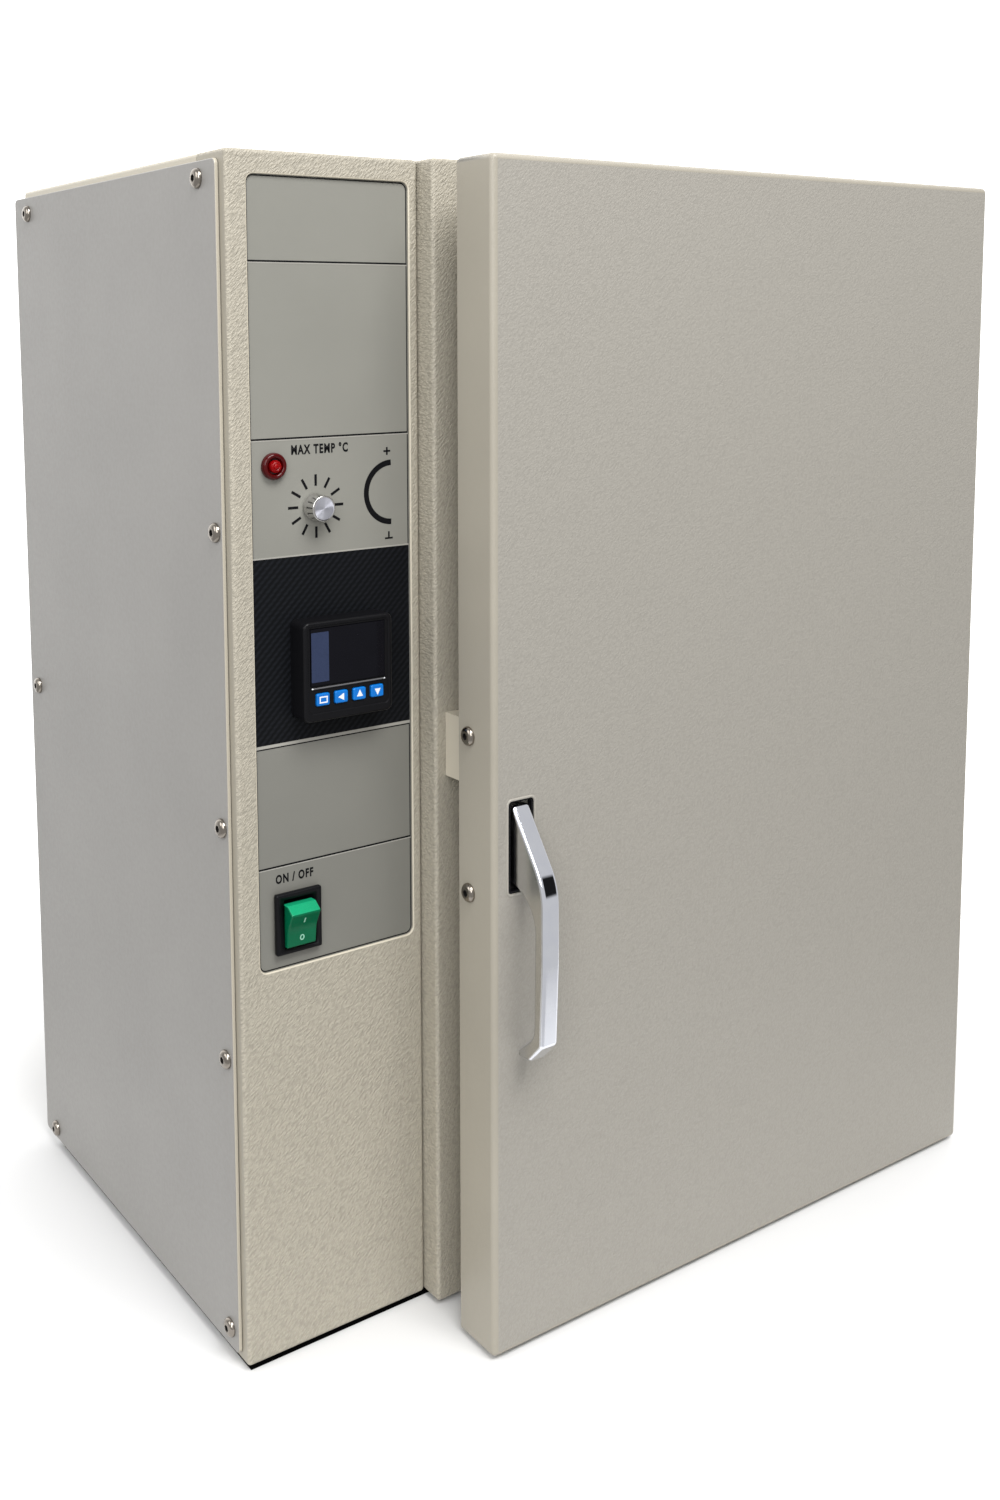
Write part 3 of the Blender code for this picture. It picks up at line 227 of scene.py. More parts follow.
def rounded(corners: Sequence[Triple], steps: int = 6) -> np.ndarray:
    """A closed outline through corners, each rounded by an arc that touches both its sides.

    Args:
        corners: Each corner's two coordinates and its radius.
        steps: How many chords an arc has.

    Returns:
        The outline's points.
    """
    data = np.array(corners, float)
    corner, radius = data[:, :2], data[:, 2:]
    before = unit(np.roll(corner, 1, 0) - corner)
    after = unit(np.roll(corner, -1, 0) - corner)
    half = np.arccos(np.clip((before * after).sum(1, keepdims=True), -1, 1)) / 2
    centre = corner + unit(before + after) * radius / np.sin(half)
    start = corner + before * radius / np.tan(half) - centre
    end = corner + after * radius / np.tan(half) - centre
    first = np.arctan2(start[:, 1], start[:, 0])[:, None]
    sweep = np.arctan2(end[:, 1], end[:, 0])[:, None] - first
    sweep = (sweep + math.pi) % (2 * math.pi) - math.pi
    angle = first + sweep * np.linspace(0, 1, steps + 1)
    bend = np.stack([np.cos(angle), np.sin(angle)], -1) * radius[:, None]
    return drop_repeats((centre[:, None] + bend).reshape(-1, 2))


def drop_repeats(outline: np.ndarray) -> np.ndarray:
    """A closed outline without points that repeat the one before."""
    gap = np.linalg.norm(outline - np.roll(outline, 1, 0), axis=1)
    return outline[gap > 1e-6]


def rectangle(centre: Pair, size: Pair, radius: float = 0.0, steps: int = 6) -> np.ndarray:
    """A rectangle round a centre, with rounded corners."""
    u, v = size[0] / 2, size[1] / 2
    signs = ((-1, -1), (1, -1), (1, 1), (-1, 1))
    return rounded([(centre[0] + a * u, centre[1] + b * v, radius) for a, b in signs], steps)


def inward(outline: np.ndarray) -> np.ndarray:
    """Inward unit normals at an outline's points, square to the chord between their neighbours."""
    chord = np.roll(outline, -1, 0) - np.roll(outline, 1, 0)
    x, y = outline.T
    area = (x * np.roll(y, -1) - np.roll(x, -1) * y).sum()
    return unit(np.stack([-chord[:, 1], chord[:, 0]], -1)) * np.sign(area)


def slab(outline: np.ndarray, span: Pair, edge: Pair, side: Side, centre: Triple, steps: int = 3) -> Surface:
    """An outline carried through a thickness, with quarter-round edges that draw it in at each face.

    Args:
        outline: Points of u and v.
        span: The outward distances of the back face and the front face.
        edge: The rounding radius at the back face and at the front face.
        side: The way that the front face points.
        centre: Where the local origin goes.
        steps: How many chords a rounding has.

    Returns:
        The closed surface.
    """
    turn = np.linspace(0, math.pi / 2, steps + 1)
    back_in, back_out = edge[0] * (1 - np.cos(turn[::-1])), span[0] + edge[0] * (1 - np.sin(turn[::-1]))
    front_in, front_out = edge[1] * (1 - np.cos(turn)), span[1] - edge[1] * (1 - np.sin(turn))
    draw = np.concatenate([back_in, front_in])
    out = np.concatenate([back_out, front_out])
    flat = outline + draw[:, None, None] * inward(outline)
    local = np.concatenate([flat, np.broadcast_to(out[:, None, None], flat.shape[:2] + (1,))], -1)
    surface = grid(local, wrap_columns=True)
    count = len(outline)
    first = np.arange(count)[None, ::-1]
    last = (len(draw) - 1) * count + np.arange(count)[None]
    return Surface(to_side(surface.points, side, centre), surface.faces + [first, last])


def box_slab(node: str, side: Side, radius: float, edge: float) -> Surface:
    """A node's box as a slab that faces a side.

    Args:
        node: The node whose box it fills.
        side: The way that its rounded face points.
        radius: The rounding of its corners.
        edge: The rounding of its outer edge.

    Returns:
        The closed surface.
    """
    low, high = box_mm(node)
    size = np.abs(np.array(side.value)) @ (high - low)
    outline = rectangle((0.0, 0.0), size[:2], radius)
    return slab(outline, (-size[2] / 2, size[2] / 2), (BACK_EDGE_MM, edge), side, (low + high) / 2)


def ring(inner: np.ndarray, outer: np.ndarray, section: np.ndarray, side: Side, centre: Triple) -> Surface:
    """A closed band between two outlines of as many points, with one section all round.

    Args:
        inner: The inner outline's points of u and v.
        outer: The outer outline's points.
        section: The section's corners: the share of the way from inner to outer, and the outward height.
        side: The way that the band faces.
        centre: Where the local origin goes.

    Returns:
        The closed surface.
    """
    flat = inner + section[:, :1, None] * (outer - inner)
    local = np.concatenate([flat, np.broadcast_to(section[:, 1:, None], flat.shape[:2] + (1,))], -1)
    surface = grid(local, wrap_rows=True, wrap_columns=True)
    return Surface(to_side(surface.points, side, centre), surface.faces)


def flat_section(height: float) -> np.ndarray:
    """The section of a flat band of a height."""
    return np.array([(0.0, 0.0), (0.0, height), (1.0, height), (1.0, 0.0)])


def layers(rows: Sequence[tuple[np.ndarray, float]]) -> Surface:
    """Outlines of as many points, each at its depth, joined in order and closed flat at both ends.

    Args:
        rows: Each outline's points of x and z, and its y.

    Returns:
        The closed surface.
    """
    points = np.stack([np.insert(outline, 1, y, axis=1) for outline, y in rows])
    surface = grid(points, wrap_columns=True)
    count = points.shape[1]
    last = (len(rows) - 1) * count + np.arange(count)[None]
    return Surface(surface.points, surface.faces + [np.arange(count)[None, ::-1], last])


def tube(path: np.ndarray, radius: float, up: Triple, closed: bool = False, sides: int = 14) -> Surface:
    """A circle carried along a path, square to the path's direction.

    Args:
        path: The centre line's points.
        radius: The circle's radius.
        up: A direction that the path never runs along.
        closed: Joins the path's end to its start.
        sides: How many points the circle has.

    Returns:
        The surface, with its ends drawn to a point where the path is open.
    """
    along = np.roll(path, -1, 0) - np.roll(path, 1, 0) if closed else np.gradient(path, axis=0)
    along = unit(along)
    across = unit(np.cross(along, np.array(up, float)))
    rise = np.cross(across, along)
    angle = np.linspace(0, 2 * math.pi, sides, endpoint=False)[:, None]
    hoop = np.cos(angle) * across[:, None] + np.sin(angle) * rise[:, None]
    points = path[:, None] + radius * hoop
    if not closed:
        ends = [np.repeat(path[i][None, None], sides, 1) for i in (0, -1)]
        points = np.concatenate([ends[0], points, ends[1]])
    return grid(points, closed, True)


def stroke(path: np.ndarray, width: float) -> np.ndarray:
    """The outline of a flat stroke: the path moved by half its width to each side.

    Args:
        path: The stroke's middle line, as points of u and v.
        width: The stroke's width.

    Returns:
        The closed outline.
    """
    along = unit(np.gradient(path, axis=0))
    across = np.stack([-along[:, 1], along[:, 0]], -1) * width / 2
    return np.vstack([path - across, (path + across)[::-1]])


@dataclass(frozen=True)
class FoldedPanel:
    """A sheet folded back all round, with a window whose edge is rounded and turned in.

    Attributes:
        low: The lower corner's x and z.
        high: The upper corner's x and z.
        window_low: The window's lower corner.
        window_high: The window's upper corner.
        front: Where the front face is.
        rear: How far back the outer flange goes.
        collar: How far back the window's edge goes.
        sheet: The sheet's thickness.
        fold_r: The outer radius of the fold.
        window_r: The radius of the window's corners.
        lip_r: The rounding of the window's front edge.
    """

    low: Pair
    high: Pair
    window_low: Pair
    window_high: Pair
    front: float
    rear: float
    collar: float
    sheet: float
    fold_r: float = 2.0
    window_r: float = 6.0
    lip_r: float = 0.9

    def outline(self, inset: float) -> np.ndarray:
        """The panel's outline, drawn in by an inset."""
        low, high = np.array(self.low) + inset, np.array(self.high) - inset
        return rectangle((low + high) / 2, high - low, max(self.fold_r - inset, 0.05))

    def window(self, grow: float) -> np.ndarray:
        """The window's outline, made larger all round."""
        low, high = np.array(self.window_low) - grow, np.array(self.window_high) + grow
        return rectangle((low + high) / 2, high - low, self.window_r + grow)

    def surface(self) -> Surface:
        """The sheet as rings from the window round the lip, the front, the fold and back inside."""
        quarter = arc((0.0, 90.0), 5)
        front, fold, lip = self.front, self.fold_r, self.lip_r
        inner = fold - self.sheet
        rows = [(self.window(0.0), self.collar)]
        rows += [(self.window(lip * (1 - c)), front + lip * (1 - s)) for c, s in quarter]
        rows += [(self.outline(fold * (1 - s)), front + fold * (1 - c)) for c, s in quarter]
        rows += [(self.outline(0.0), self.rear), (self.outline(self.sheet), self.rear)]
        rows += [(self.outline(self.sheet + inner * (1 - c)), front + fold - inner * s) for c, s in quarter]
        if self.collar > front + self.sheet:
            rows += [(self.window(self.sheet), y) for y in (front + self.sheet, self.collar)]
        points = np.stack([np.insert(outline, 1, y, axis=1) for outline, y in rows])
        return grid(points, wrap_rows=True, wrap_columns=True)


# Pieces


def new_mesh(name: str, surface: Surface) -> Mesh:
    """A mesh of a surface, with its seams and poles merged and its faces pointing out."""
    mesh = bpy.data.meshes.new(name)
    faces = [row for array in surface.faces for row in array.tolist()]
    mesh.from_pydata((surface.points * MM + DATUM).tolist(), [], faces)
    finish = np.repeat(surface.finish, [len(array) for array in surface.faces])
    mesh.polygons.foreach_set("material_index", finish.astype(np.int32))
    tidy_mesh(mesh, turn_out=True)
    return mesh


def tidy_mesh(mesh: Mesh, turn_out: bool) -> None:
    """Merges points that coincide.

    Args:
        mesh: The mesh to change.
        turn_out: Also turns its faces outwards.
    """
    bm = bmesh.new()
    bm.from_mesh(mesh)
    bmesh.ops.remove_doubles(bm, verts=bm.verts, dist=MERGE_M)
    bmesh.ops.dissolve_degenerate(bm, edges=bm.edges, dist=1e-8)
    if turn_out:
        bmesh.ops.recalc_face_normals(bm, faces=bm.faces)
    bm.to_mesh(mesh)
    bm.free()


def linked(name: str, data: ID) -> Object:
    """A new object of some data, linked to the scene."""
    obj = bpy.data.objects.new(name, data)
    bpy.context.scene.collection.objects.link(obj)
    return obj


def carved(mesh: Mesh, *tools: Surface) -> Mesh:
    """A mesh with closed surfaces cut out of it.

    Args:
        mesh: The mesh to cut.
        tools: What is cut away.

    Returns:
        The new mesh.
    """
    holder = linked(mesh.name, mesh)
    cutters = [linked("cutter", new_mesh("cutter", tool)) for tool in tools]
    for cutter in cutters:
        cut = holder.modifiers.new("cut", "BOOLEAN")
        cut.object, cut.operation, cut.solver = cutter, "DIFFERENCE", "EXACT"
    result = bpy.data.meshes.new_from_object(holder.evaluated_get(bpy.context.evaluated_depsgraph_get()))
    for obj in (holder, *cutters):
        used = obj.data
        bpy.data.objects.remove(obj)
        bpy.data.meshes.remove(used)
    return result


def lettering(text: str, height: float, centre: Triple, thick: float) -> Mesh:
    """Plain capitals that face the front, as a mesh.

    Args:
        text: What they say.
        height: The capitals' height.
        centre: The middle of the line.
        thick: How thick the print is.

    Returns:
        The mesh, in place.
    """
    curve = bpy.data.curves.new(text, "FONT")
    curve.body, curve.resolution_u = text, 3
    curve.size, curve.extrude = height * MM / CAPITAL_SHARE, thick * MM / 2
    curve.offset, curve.space_character = LETTER_WEIGHT_MM * MM, LETTER_SPACE
    curve.align_x, curve.align_y = "CENTER", "CENTER"
    holder = bpy.data.objects.new(text, curve)
    mesh = bpy.data.meshes.new_from_object(holder)
    bpy.data.objects.remove(holder)
    bpy.data.curves.remove(curve)
    place = DATUM + np.array(centre) * MM
    narrow = Matrix.Diagonal((LETTER_WIDTH, 1.0, 1.0, 1.0))
    mesh.transform(Matrix.Translation(Vector(place)) @ Matrix.Rotation(math.pi / 2, 4, "X") @ narrow)
    tidy_mesh(mesh, turn_out=True)
    return mesh


def add_piece(
    name: str,
    mesh: Mesh,
    material: Material,
    body: str,
    stands_for: Sequence[str] = (),
    sharp_deg: float = 35.0,
    second: Material | None = None,
) -> None:
    """Makes a piece of a mesh, dresses it and lets it ride on a body.

    Args:
        name: The piece's name.
        mesh: Its mesh, in place.
        material: Its finish.
        body: The body that it moves with.
        stands_for: The CAD nodes that it replaces.
        sharp_deg: Edges that turn by more than this stay sharp.
        second: The finish of the faces that ask for a second one.
    """
    if mesh.materials:
        mesh.materials.clear()
    mesh.materials.append(material)
    if second:
        mesh.materials.append(second)
    mesh.shade_smooth()
    mesh.set_sharp_from_angle(angle=math.radians(sharp_deg))
    piece = linked(name, mesh)
    weights = piece.modifiers.new("weighted normals", "WEIGHTED_NORMAL")
    weights.keep_sharp = True
    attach(piece, body)
    if stands_for:
        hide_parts(*stands_for)
    LOG.info("piece %s on %s, %d faces", name, body, len(mesh.polygons))


def normals_of(mesh: Mesh) -> np.ndarray:
    """The normals of a mesh's faces."""
    normals = np.empty(3 * len(mesh.polygons), np.float32)
    mesh.polygons.foreach_get("normal", normals)
    return normals.reshape(-1, 3)


def second_where(mesh: Mesh, chosen: np.ndarray) -> None:
    """Asks for the second finish on the chosen faces of a mesh."""
    mesh.materials.clear()
    mesh.polygons.foreach_set("material_index", chosen.astype(np.int32))


def smooth_copy(
    node: str, material: Material, front: Material | None = None
) -> None:
    """A copy of a CAD node whose folds and fillets are shaded smooth.

    Args:
        node: The node to copy and stand for.
        material: The copy's finish.
        front: The finish of the faces that look straight to the front, if it is another one.
    """
    source = frame["nodes"][node]
    mesh = source.data.copy()
    tidy_mesh(mesh, turn_out=False)
    if front:
        second_where(mesh, normals_of(mesh)[:, 1] < -FRONT_NORMAL)
    add_piece(f"{node}_skin", mesh, material, source["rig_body"], (node,), second=front)


def dress(material: Material, *nodes: str) -> None:
    """Gives CAD nodes a finish, and leaves their shape alone."""
    for node in nodes:
        obj = frame["nodes"][node]
        if not obj.material_slots:
            obj.data.materials.append(material)
        for holder in obj.material_slots:
            holder.link = "OBJECT"
            holder.material = material
        LOG.info("node %s dressed with %s", node, material.name)


# Finishes


class Nodes:
    """A node tree, and short ways to add to it."""

    def __init__(self, tree: NodeTree) -> None:
        """Keeps the tree."""
        self.tree = tree

    def node(self, kind: str, settings: dict | None = None, **inputs: object) -> Node:
        """Adds a node.

        Args:
            kind: Blender's name for the node.
            settings: The node's own properties.
            inputs: Values or sockets for its inputs, by name.

        Returns:
            The node.
        """
        node = self.tree.nodes.new(kind)
        for name, value in (settings or {}).items():
            setattr(node, name, value)
        for name, value in inputs.items():
            self.feed(node.inputs[name.replace("_", " ")], value)
        return node

    def feed(self, socket: NodeSocket, value: object) -> None:
        """Links a socket to another one, or sets its value."""
        if isinstance(value, NodeSocket):
            self.tree.links.new(value, socket)
        else:
            socket.default_value = value

    def maths(self, operation: str, a: object, b: object) -> NodeSocket:
        """One sum of two values."""
        node = self.node("ShaderNodeMath", {"operation": operation})
        for socket, value in zip(node.inputs, (a, b)):
            self.feed(socket, value)
        return node.outputs[0]

    def vectors(self, operation: str, *values: object) -> NodeSocket:
        """One vector sum of up to three values."""
        node = self.node("ShaderNodeVectorMath", {"operation": operation})
        for socket, value in zip(node.inputs, values):
            self.feed(socket, value)
        return node.outputs["Value" if operation == "DOT_PRODUCT" else "Vector"]

    def span(self, value: NodeSocket, source: Pair, target: Pair) -> NodeSocket:
        """Carries a value from one range to another, held at both ends."""
        node = self.node("ShaderNodeMapRange", Value=value)
        for name, number in zip(("From Min", "From Max", "To Min", "To Max"), (*source, *target)):
            node.inputs[name].default_value = number
        return node.outputs["Result"]


class Graph(Nodes):
    """A material's nodes, with a Principled shader fed by patterns on Object coordinates."""

    def __init__(self, name: str, colour: Triple, roughness: float, metallic: float = 0.0) -> None:
        """Starts a material with one colour.

        Args:
            name: The material's name.
            colour: Its linear colour.
            roughness: Its roughness.
            metallic: Its metallic value.
        """
        self.material = bpy.data.materials.new(name)
        self.material.use_nodes = True
        super().__init__(self.material.node_tree)
        self.shader = self.tree.nodes["Principled BSDF"]
        self.material.diffuse_color = (*colour, 1.0)
        self.put(Base_Color=(*colour, 1.0), Roughness=roughness, Metallic=metallic)

    def put(self, **values: object) -> None:
        """Feeds the shader's own sockets, with underscores for spaces in their names."""
        for name, value in values.items():
            self.feed(self.shader.inputs[name.replace("_", " ")], value)

    def place(self, scale: Triple = (1, 1, 1), turn_deg: Triple = (0, 0, 0)) -> NodeSocket:
        """Object coordinates, turned and then stretched.

        Args:
            scale: How many units a metre counts along each turned axis.
            turn_deg: The turn about each axis.

        Returns:
            The vector socket.
        """
        source = self.node("ShaderNodeTexCoord").outputs["Object"]
        turn = tuple(math.radians(a) for a in turn_deg)
        turned_to = self.node("ShaderNodeMapping", Vector=source, Rotation=turn).outputs["Vector"]
        return self.node("ShaderNodeMapping", Vector=turned_to, Scale=scale).outputs["Vector"]

    def noise(self, vector: NodeSocket, scale: float, detail: float = 3.0) -> NodeSocket:
        """Soft noise of a scale, from nought to one."""
        inputs = {"Vector": vector, "Scale": scale, "Detail": detail}
        return self.node("ShaderNodeTexNoise", **inputs).outputs["Fac"]

    def stir(self, vector: NodeSocket, size_mm: float, by_mm: float) -> NodeSocket:
        """Coordinates pushed about by noise of a size, so that a pattern on them wavers."""
        inputs = {"Vector": vector, "Scale": 1 / (size_mm * MM), "Detail": 1.0}
        push = self.node("ShaderNodeTexNoise", **inputs).outputs["Color"]
        return self.vectors("MULTIPLY_ADD", push, (by_mm * MM,) * 3, vector)

    def pebbles(self, vector: NodeSocket, scale: float) -> NodeSocket:
        """Rounded cells of a scale: the distance from each point to the nearest cell's middle."""
        inputs = {"Vector": vector, "Scale": scale, "Smoothness": 0.5}
        settings = {"feature": "SMOOTH_F1"}
        return self.node("ShaderNodeTexVoronoi", settings, **inputs).outputs["Distance"]

    def ribs(
        self, vector: NodeSocket, axis: str, pitch_mm: float, waver: float
    ) -> NodeSocket:
        """Even waves across one axis.

        Args:
            vector: The coordinates.
            axis: The axis that the waves go across.
            pitch_mm: The distance between two waves.
            waver: How much they bend.

        Returns:
            The waves, from nought to one.
        """
        settings = {"wave_type": "BANDS", "bands_direction": axis}
        inputs = {"Vector": vector, "Scale": math.pi / (10 * pitch_mm * MM), "Distortion": waver}
        return self.node("ShaderNodeTexWave", settings, **inputs).outputs["Fac"]

    def blend(self, share: NodeSocket, low: Triple, high: Triple) -> NodeSocket:
        """A colour between two, by a share."""
        node = self.node("ShaderNodeMix", {"data_type": "RGBA"}, Factor=share)
        node.inputs[6].default_value = (*low, 1.0)
        node.inputs[7].default_value = (*high, 1.0)
        return node.outputs[2]

    def mottle(self, share: NodeSocket, colour: Triple, contrast: float) -> None:
        """Lets the base colour go from darker to lighter, by a share."""
        self.put(Base_Color=self.blend(share, shade(colour, 1 - contrast), shade(colour, 1 + contrast)))

    def bump(self, height: NodeSocket, depth_mm: float, strength: float = 1.0) -> None:
        """Raises the surface by a height pattern of a depth."""
        node = self.node("ShaderNodeBump", Height=height, Strength=strength, Distance=depth_mm * MM)
        self.put(Normal=node.outputs["Normal"])


def shade(colour: Triple, factor: float) -> Triple:
    """A colour made lighter or darker by a factor."""
    return tuple(min(1.0, c * factor) for c in colour)


@dataclass(frozen=True)
class GrainedPaint:
    """Powder coat with a leather-like grain.

    Attributes:
        name: The material's name.
        colour: Its linear colour.
        grain_mm: The length of a grain.
        depth_mm: How deep the grain is.
        contrast: How much darker the hollows are.
        stretch: How much longer than wide a grain is.
        roughness: Its roughness.
        slant_deg: How far the grain leans.
        clouds: How much the tone drifts over the sheet.
        clouds_per_m: How many clouds a metre has.
    """

    name: str
    colour: Triple
    grain_mm: float = 2.3
    depth_mm: float = 0.32
    contrast: float = 0.2
    stretch: float = 2.6
    roughness: float = 0.5
    slant_deg: float = 48.0
    clouds: float = 0.03
    clouds_per_m: float = 24.0

    def build(self) -> Material:
        """Cells stretched on a slant and stirred by noise, with finer noise and faint clouds over them."""
        graph = Graph(self.name, self.colour, self.roughness)
        grain = self.grain_mm
        slanted = graph.place((1.0, 1.0, self.stretch), (0.0, self.slant_deg, 0.0))
        vector = graph.stir(slanted, 2.6 * grain, 0.4 * grain)
        pebble = graph.span(graph.pebbles(vector, 1 / (grain * MM)), (0.1, 0.8), (1.0, 0.0))
        fine = graph.noise(vector, 2.2 / (grain * MM), 2.0)
        height = graph.maths("ADD", pebble, graph.span(fine, NOISE_SPAN, (-0.3, 0.3)))
        cloud = graph.noise(graph.place(), self.clouds_per_m, 4.0)
        cloud = graph.span(cloud, NOISE_SPAN, (-self.clouds, self.clouds))
        tone = graph.maths("ADD", height, cloud)
        graph.mottle(graph.span(tone, (-0.2, 1.2), UNIT_SPAN), self.colour, self.contrast)
        graph.put(Roughness=graph.span(fine, NOISE_SPAN, (self.roughness - 0.06, self.roughness + 0.08)))
        graph.bump(height, self.depth_mm, 0.8)
        return graph.material


@dataclass(frozen=True)
class SatinPaint:
    """Smooth satin paint with faint clouds and a very fine orange peel.

    Attributes:
        name: The material's name.
        colour: Its linear colour.
        roughness: Its roughness.
        clouds: How much the colour drifts.
        peel_mm: How deep the orange peel is.
        shine: How strongly it mirrors.
        rise: The heights between which the colour gets lighter, in metres.
        rise_share: How much of the drift follows the height, where there is a rise.
        clouds_per_m: How many clouds a metre has.
        peel_per_m: How many dimples a metre has.
    """

    name: str
    colour: Triple
    roughness: float = 0.42
    clouds: float = 0.04
    peel_mm: float = 0.05
    shine: float = 0.5
    # rise: The heights between which the colour gets lighter, in metres: painted shade that darkens the lower
    # part.
    rise: Pair = (0.0, 0.0)
    rise_share: float = 0.75
    clouds_per_m: float = 14.0
    peel_per_m: float = 420.0

    def build(self) -> Material:
        """Clouds in the colour, painted shade that darkens it below a rise, and a fine peel in gloss and
        relief.
        """
        graph = Graph(self.name, self.colour, self.roughness)
        vector = graph.place()
        tone = graph.span(graph.noise(vector, self.clouds_per_m, 6.0), NOISE_SPAN, UNIT_SPAN)
        # Painted shade: darker low down, lighter with height.
        if self.rise[1] > self.rise[0]:
            height = graph.node("ShaderNodeSeparateXYZ", Vector=vector).outputs["Z"]
            drift = graph.maths("MULTIPLY", tone, 1 - self.rise_share)
            tone = graph.maths("ADD", drift, graph.span(height, self.rise, (0.0, self.rise_share)))
        graph.mottle(tone, self.colour, self.clouds)
        graph.put(Specular_IOR_Level=self.shine)
        peel = graph.noise(vector, self.peel_per_m, 2.0)
        graph.put(Roughness=graph.span(peel, NOISE_SPAN, (self.roughness - 0.05, self.roughness + 0.05)))
        graph.bump(peel, self.peel_mm, 0.5)
        return graph.material


@dataclass(frozen=True)
class BrushedMetal:
    """Bare metal with fine lines along one axis.

    Attributes:
        name: The material's name.
        colour: Its linear colour.
        roughness: Its roughness.
        stretch: How the lines are squeezed along each axis; the smallest is the way that they run.
        lines_per_m: How many lines a metre has across them.
        clouds_per_m: How many clouds a metre has.
        contrast: How much the lines and clouds differ in tone.
    """

    name: str
    colour: Triple
    roughness: float = 0.3
    stretch: Triple = (1.0, 1.0, 0.02)
    lines_per_m: float = 1600.0
    clouds_per_m: float = 18.0
    contrast: float = 0.11

    def build(self) -> Material:
        """Noise squeezed into lines, with faint clouds, in colour, gloss and relief."""
        graph = Graph(self.name, self.colour, self.roughness, 1.0)
        lines = graph.noise(graph.place(self.stretch), self.lines_per_m, 3.0)
        cloud = graph.noise(graph.place(), self.clouds_per_m, 3.0)
        share = graph.span(graph.maths("ADD", lines, cloud), TWO_NOISE_SPAN, UNIT_SPAN)
        graph.mottle(share, self.colour, self.contrast)
        graph.put(Roughness=graph.span(lines, NOISE_SPAN, (self.roughness - 0.08, self.roughness + 0.1)))
        graph.bump(lines, 0.01, 0.35)
        return graph.material


@dataclass(frozen=True)
class PolishedMetal:
    """Bright plated metal with faint wear.

    Attributes:
        name: The material's name.
        colour: Its linear colour.
        roughness: Its roughness.
        smears_per_m: How many smears a metre has.
        wear: How much rougher a smear is.
    """

    name: str
    colour: Triple
    roughness: float = 0.06
    smears_per_m: float = 160.0
    wear: float = 0.05

    def build(self) -> Material:
        """Makes the material."""
        return self.graph().material

    def graph(self) -> Graph:
        """The finish's nodes: soft smears in the gloss and, faintly, in the colour."""
        graph = Graph(self.name, self.colour, self.roughness, 1.0)
        smear = graph.noise(graph.place(), self.smears_per_m, 4.0)
        graph.put(Roughness=graph.span(smear, (0.35, 0.75), (self.roughness, self.roughness + self.wear)))
        graph.mottle(graph.span(smear, NOISE_SPAN, UNIT_SPAN), self.colour, 0.02)
        return graph


@dataclass(frozen=True)
class SpunMetal(PolishedMetal):
    """Turned metal, whose fine rings draw the gloss out round an axis along Y.

    Attributes:
        axis: A point on the axis, from the datum.
        drawn: How far the gloss is drawn out.
    """

    axis: Triple = (0.0, 0.0, 0.0)
    drawn: float = 0.95

    def build(self) -> Material:
        """Makes the material, whose tangent runs round the axis."""
        graph = self.graph()
        centre = tuple(float(v) for v in DATUM + np.array(self.axis) * MM)
        arm = graph.vectors("SUBTRACT", graph.place(), centre)
        round_it = graph.vectors("NORMALIZE", graph.vectors("CROSS_PRODUCT", arm, (0.0, 1.0, 0.0)))
        graph.put(Anisotropic=self.drawn, Tangent=round_it)
        return graph.material


@dataclass(frozen=True)
class Moulding:
    """Moulded plastic or rubber with a spark-eroded grain.

    Attributes:
        name: The material's name.
        colour: Its linear colour.
        roughness: Its roughness.
        grain_mm: The size of the grain.
        depth_mm: How deep the grain is.
        coat: How strong a clear gloss lies over it.
        glow: How much the colour shines by itself; on the lamp's dome it is the lamp's light, on the rocker's
            top facet painted light.
        shine: How strongly it mirrors.
        clouds_per_m: How many clouds a metre has.
        contrast: How much the grain and the clouds differ in tone.
    """

    name: str
    colour: Triple
    roughness: float = 0.42
    grain_mm: float = 0.35
    depth_mm: float = 0.02
    coat: float = 0.0
    glow: float = 0.0
    shine: float = 0.5
    clouds_per_m: float = 60.0
    contrast: float = 0.12

    def build(self) -> Material:
        """A fine grain in colour, gloss and relief, with faint clouds."""
        graph = Graph(self.name, self.colour, self.roughness)
        vector = graph.place()
        grain = graph.noise(vector, 1 / (self.grain_mm * MM), 2.0)
        cloud = graph.noise(vector, self.clouds_per_m, 3.0)
        share = graph.span(graph.maths("ADD", grain, cloud), TWO_NOISE_SPAN, UNIT_SPAN)
        graph.mottle(share, self.colour, self.contrast)
        graph.put(Roughness=graph.span(grain, NOISE_SPAN, (self.roughness - 0.05, self.roughness + 0.06)))
        graph.bump(grain, self.depth_mm, 0.5)
        graph.put(Coat_Weight=self.coat, Coat_Roughness=0.05, Specular_IOR_Level=self.shine)
        if self.glow:
            graph.put(Emission_Color=(*self.colour, 1.0), Emission_Strength=self.glow)
        return graph.material


@dataclass(frozen=True)
class Twill:
    """A black film with a slanted weave of short dashes.

    Attributes:
        name: The material's name.
        dark: The linear colour between the ribs.
        light: The linear colour of the dashes.
        rib_mm: The distance between two ribs.
        dash_mm: The height from one dash to the next.
    """

    name: str
    dark: Triple
    light: Triple
    rib_mm: float = 2.7
    dash_mm: float = 2.2

    def build(self) -> Material:
        """Slanted ribs, broken into dashes by waves over the height."""
        graph = Graph(self.name, self.dark, 0.5)
        rib = graph.ribs(graph.place(turn_deg=(0.0, -45.0, 0.0)), "X", self.rib_mm, 0.6)
        dash = graph.ribs(graph.place(), "Z", self.dash_mm, 0.6)
        height = graph.maths("MULTIPLY", rib, graph.span(dash, (0.0, 1.0), (0.6, 1.0)))
        graph.put(Base_Color=graph.blend(graph.span(height, (0.15, 0.8), UNIT_SPAN), self.dark, self.light))
        graph.put(Roughness=graph.span(height, (0.0, 1.0), (0.6, 0.45)), Specular_IOR_Level=0.1)
        graph.bump(height, 0.1, 0.6)
        return graph.material


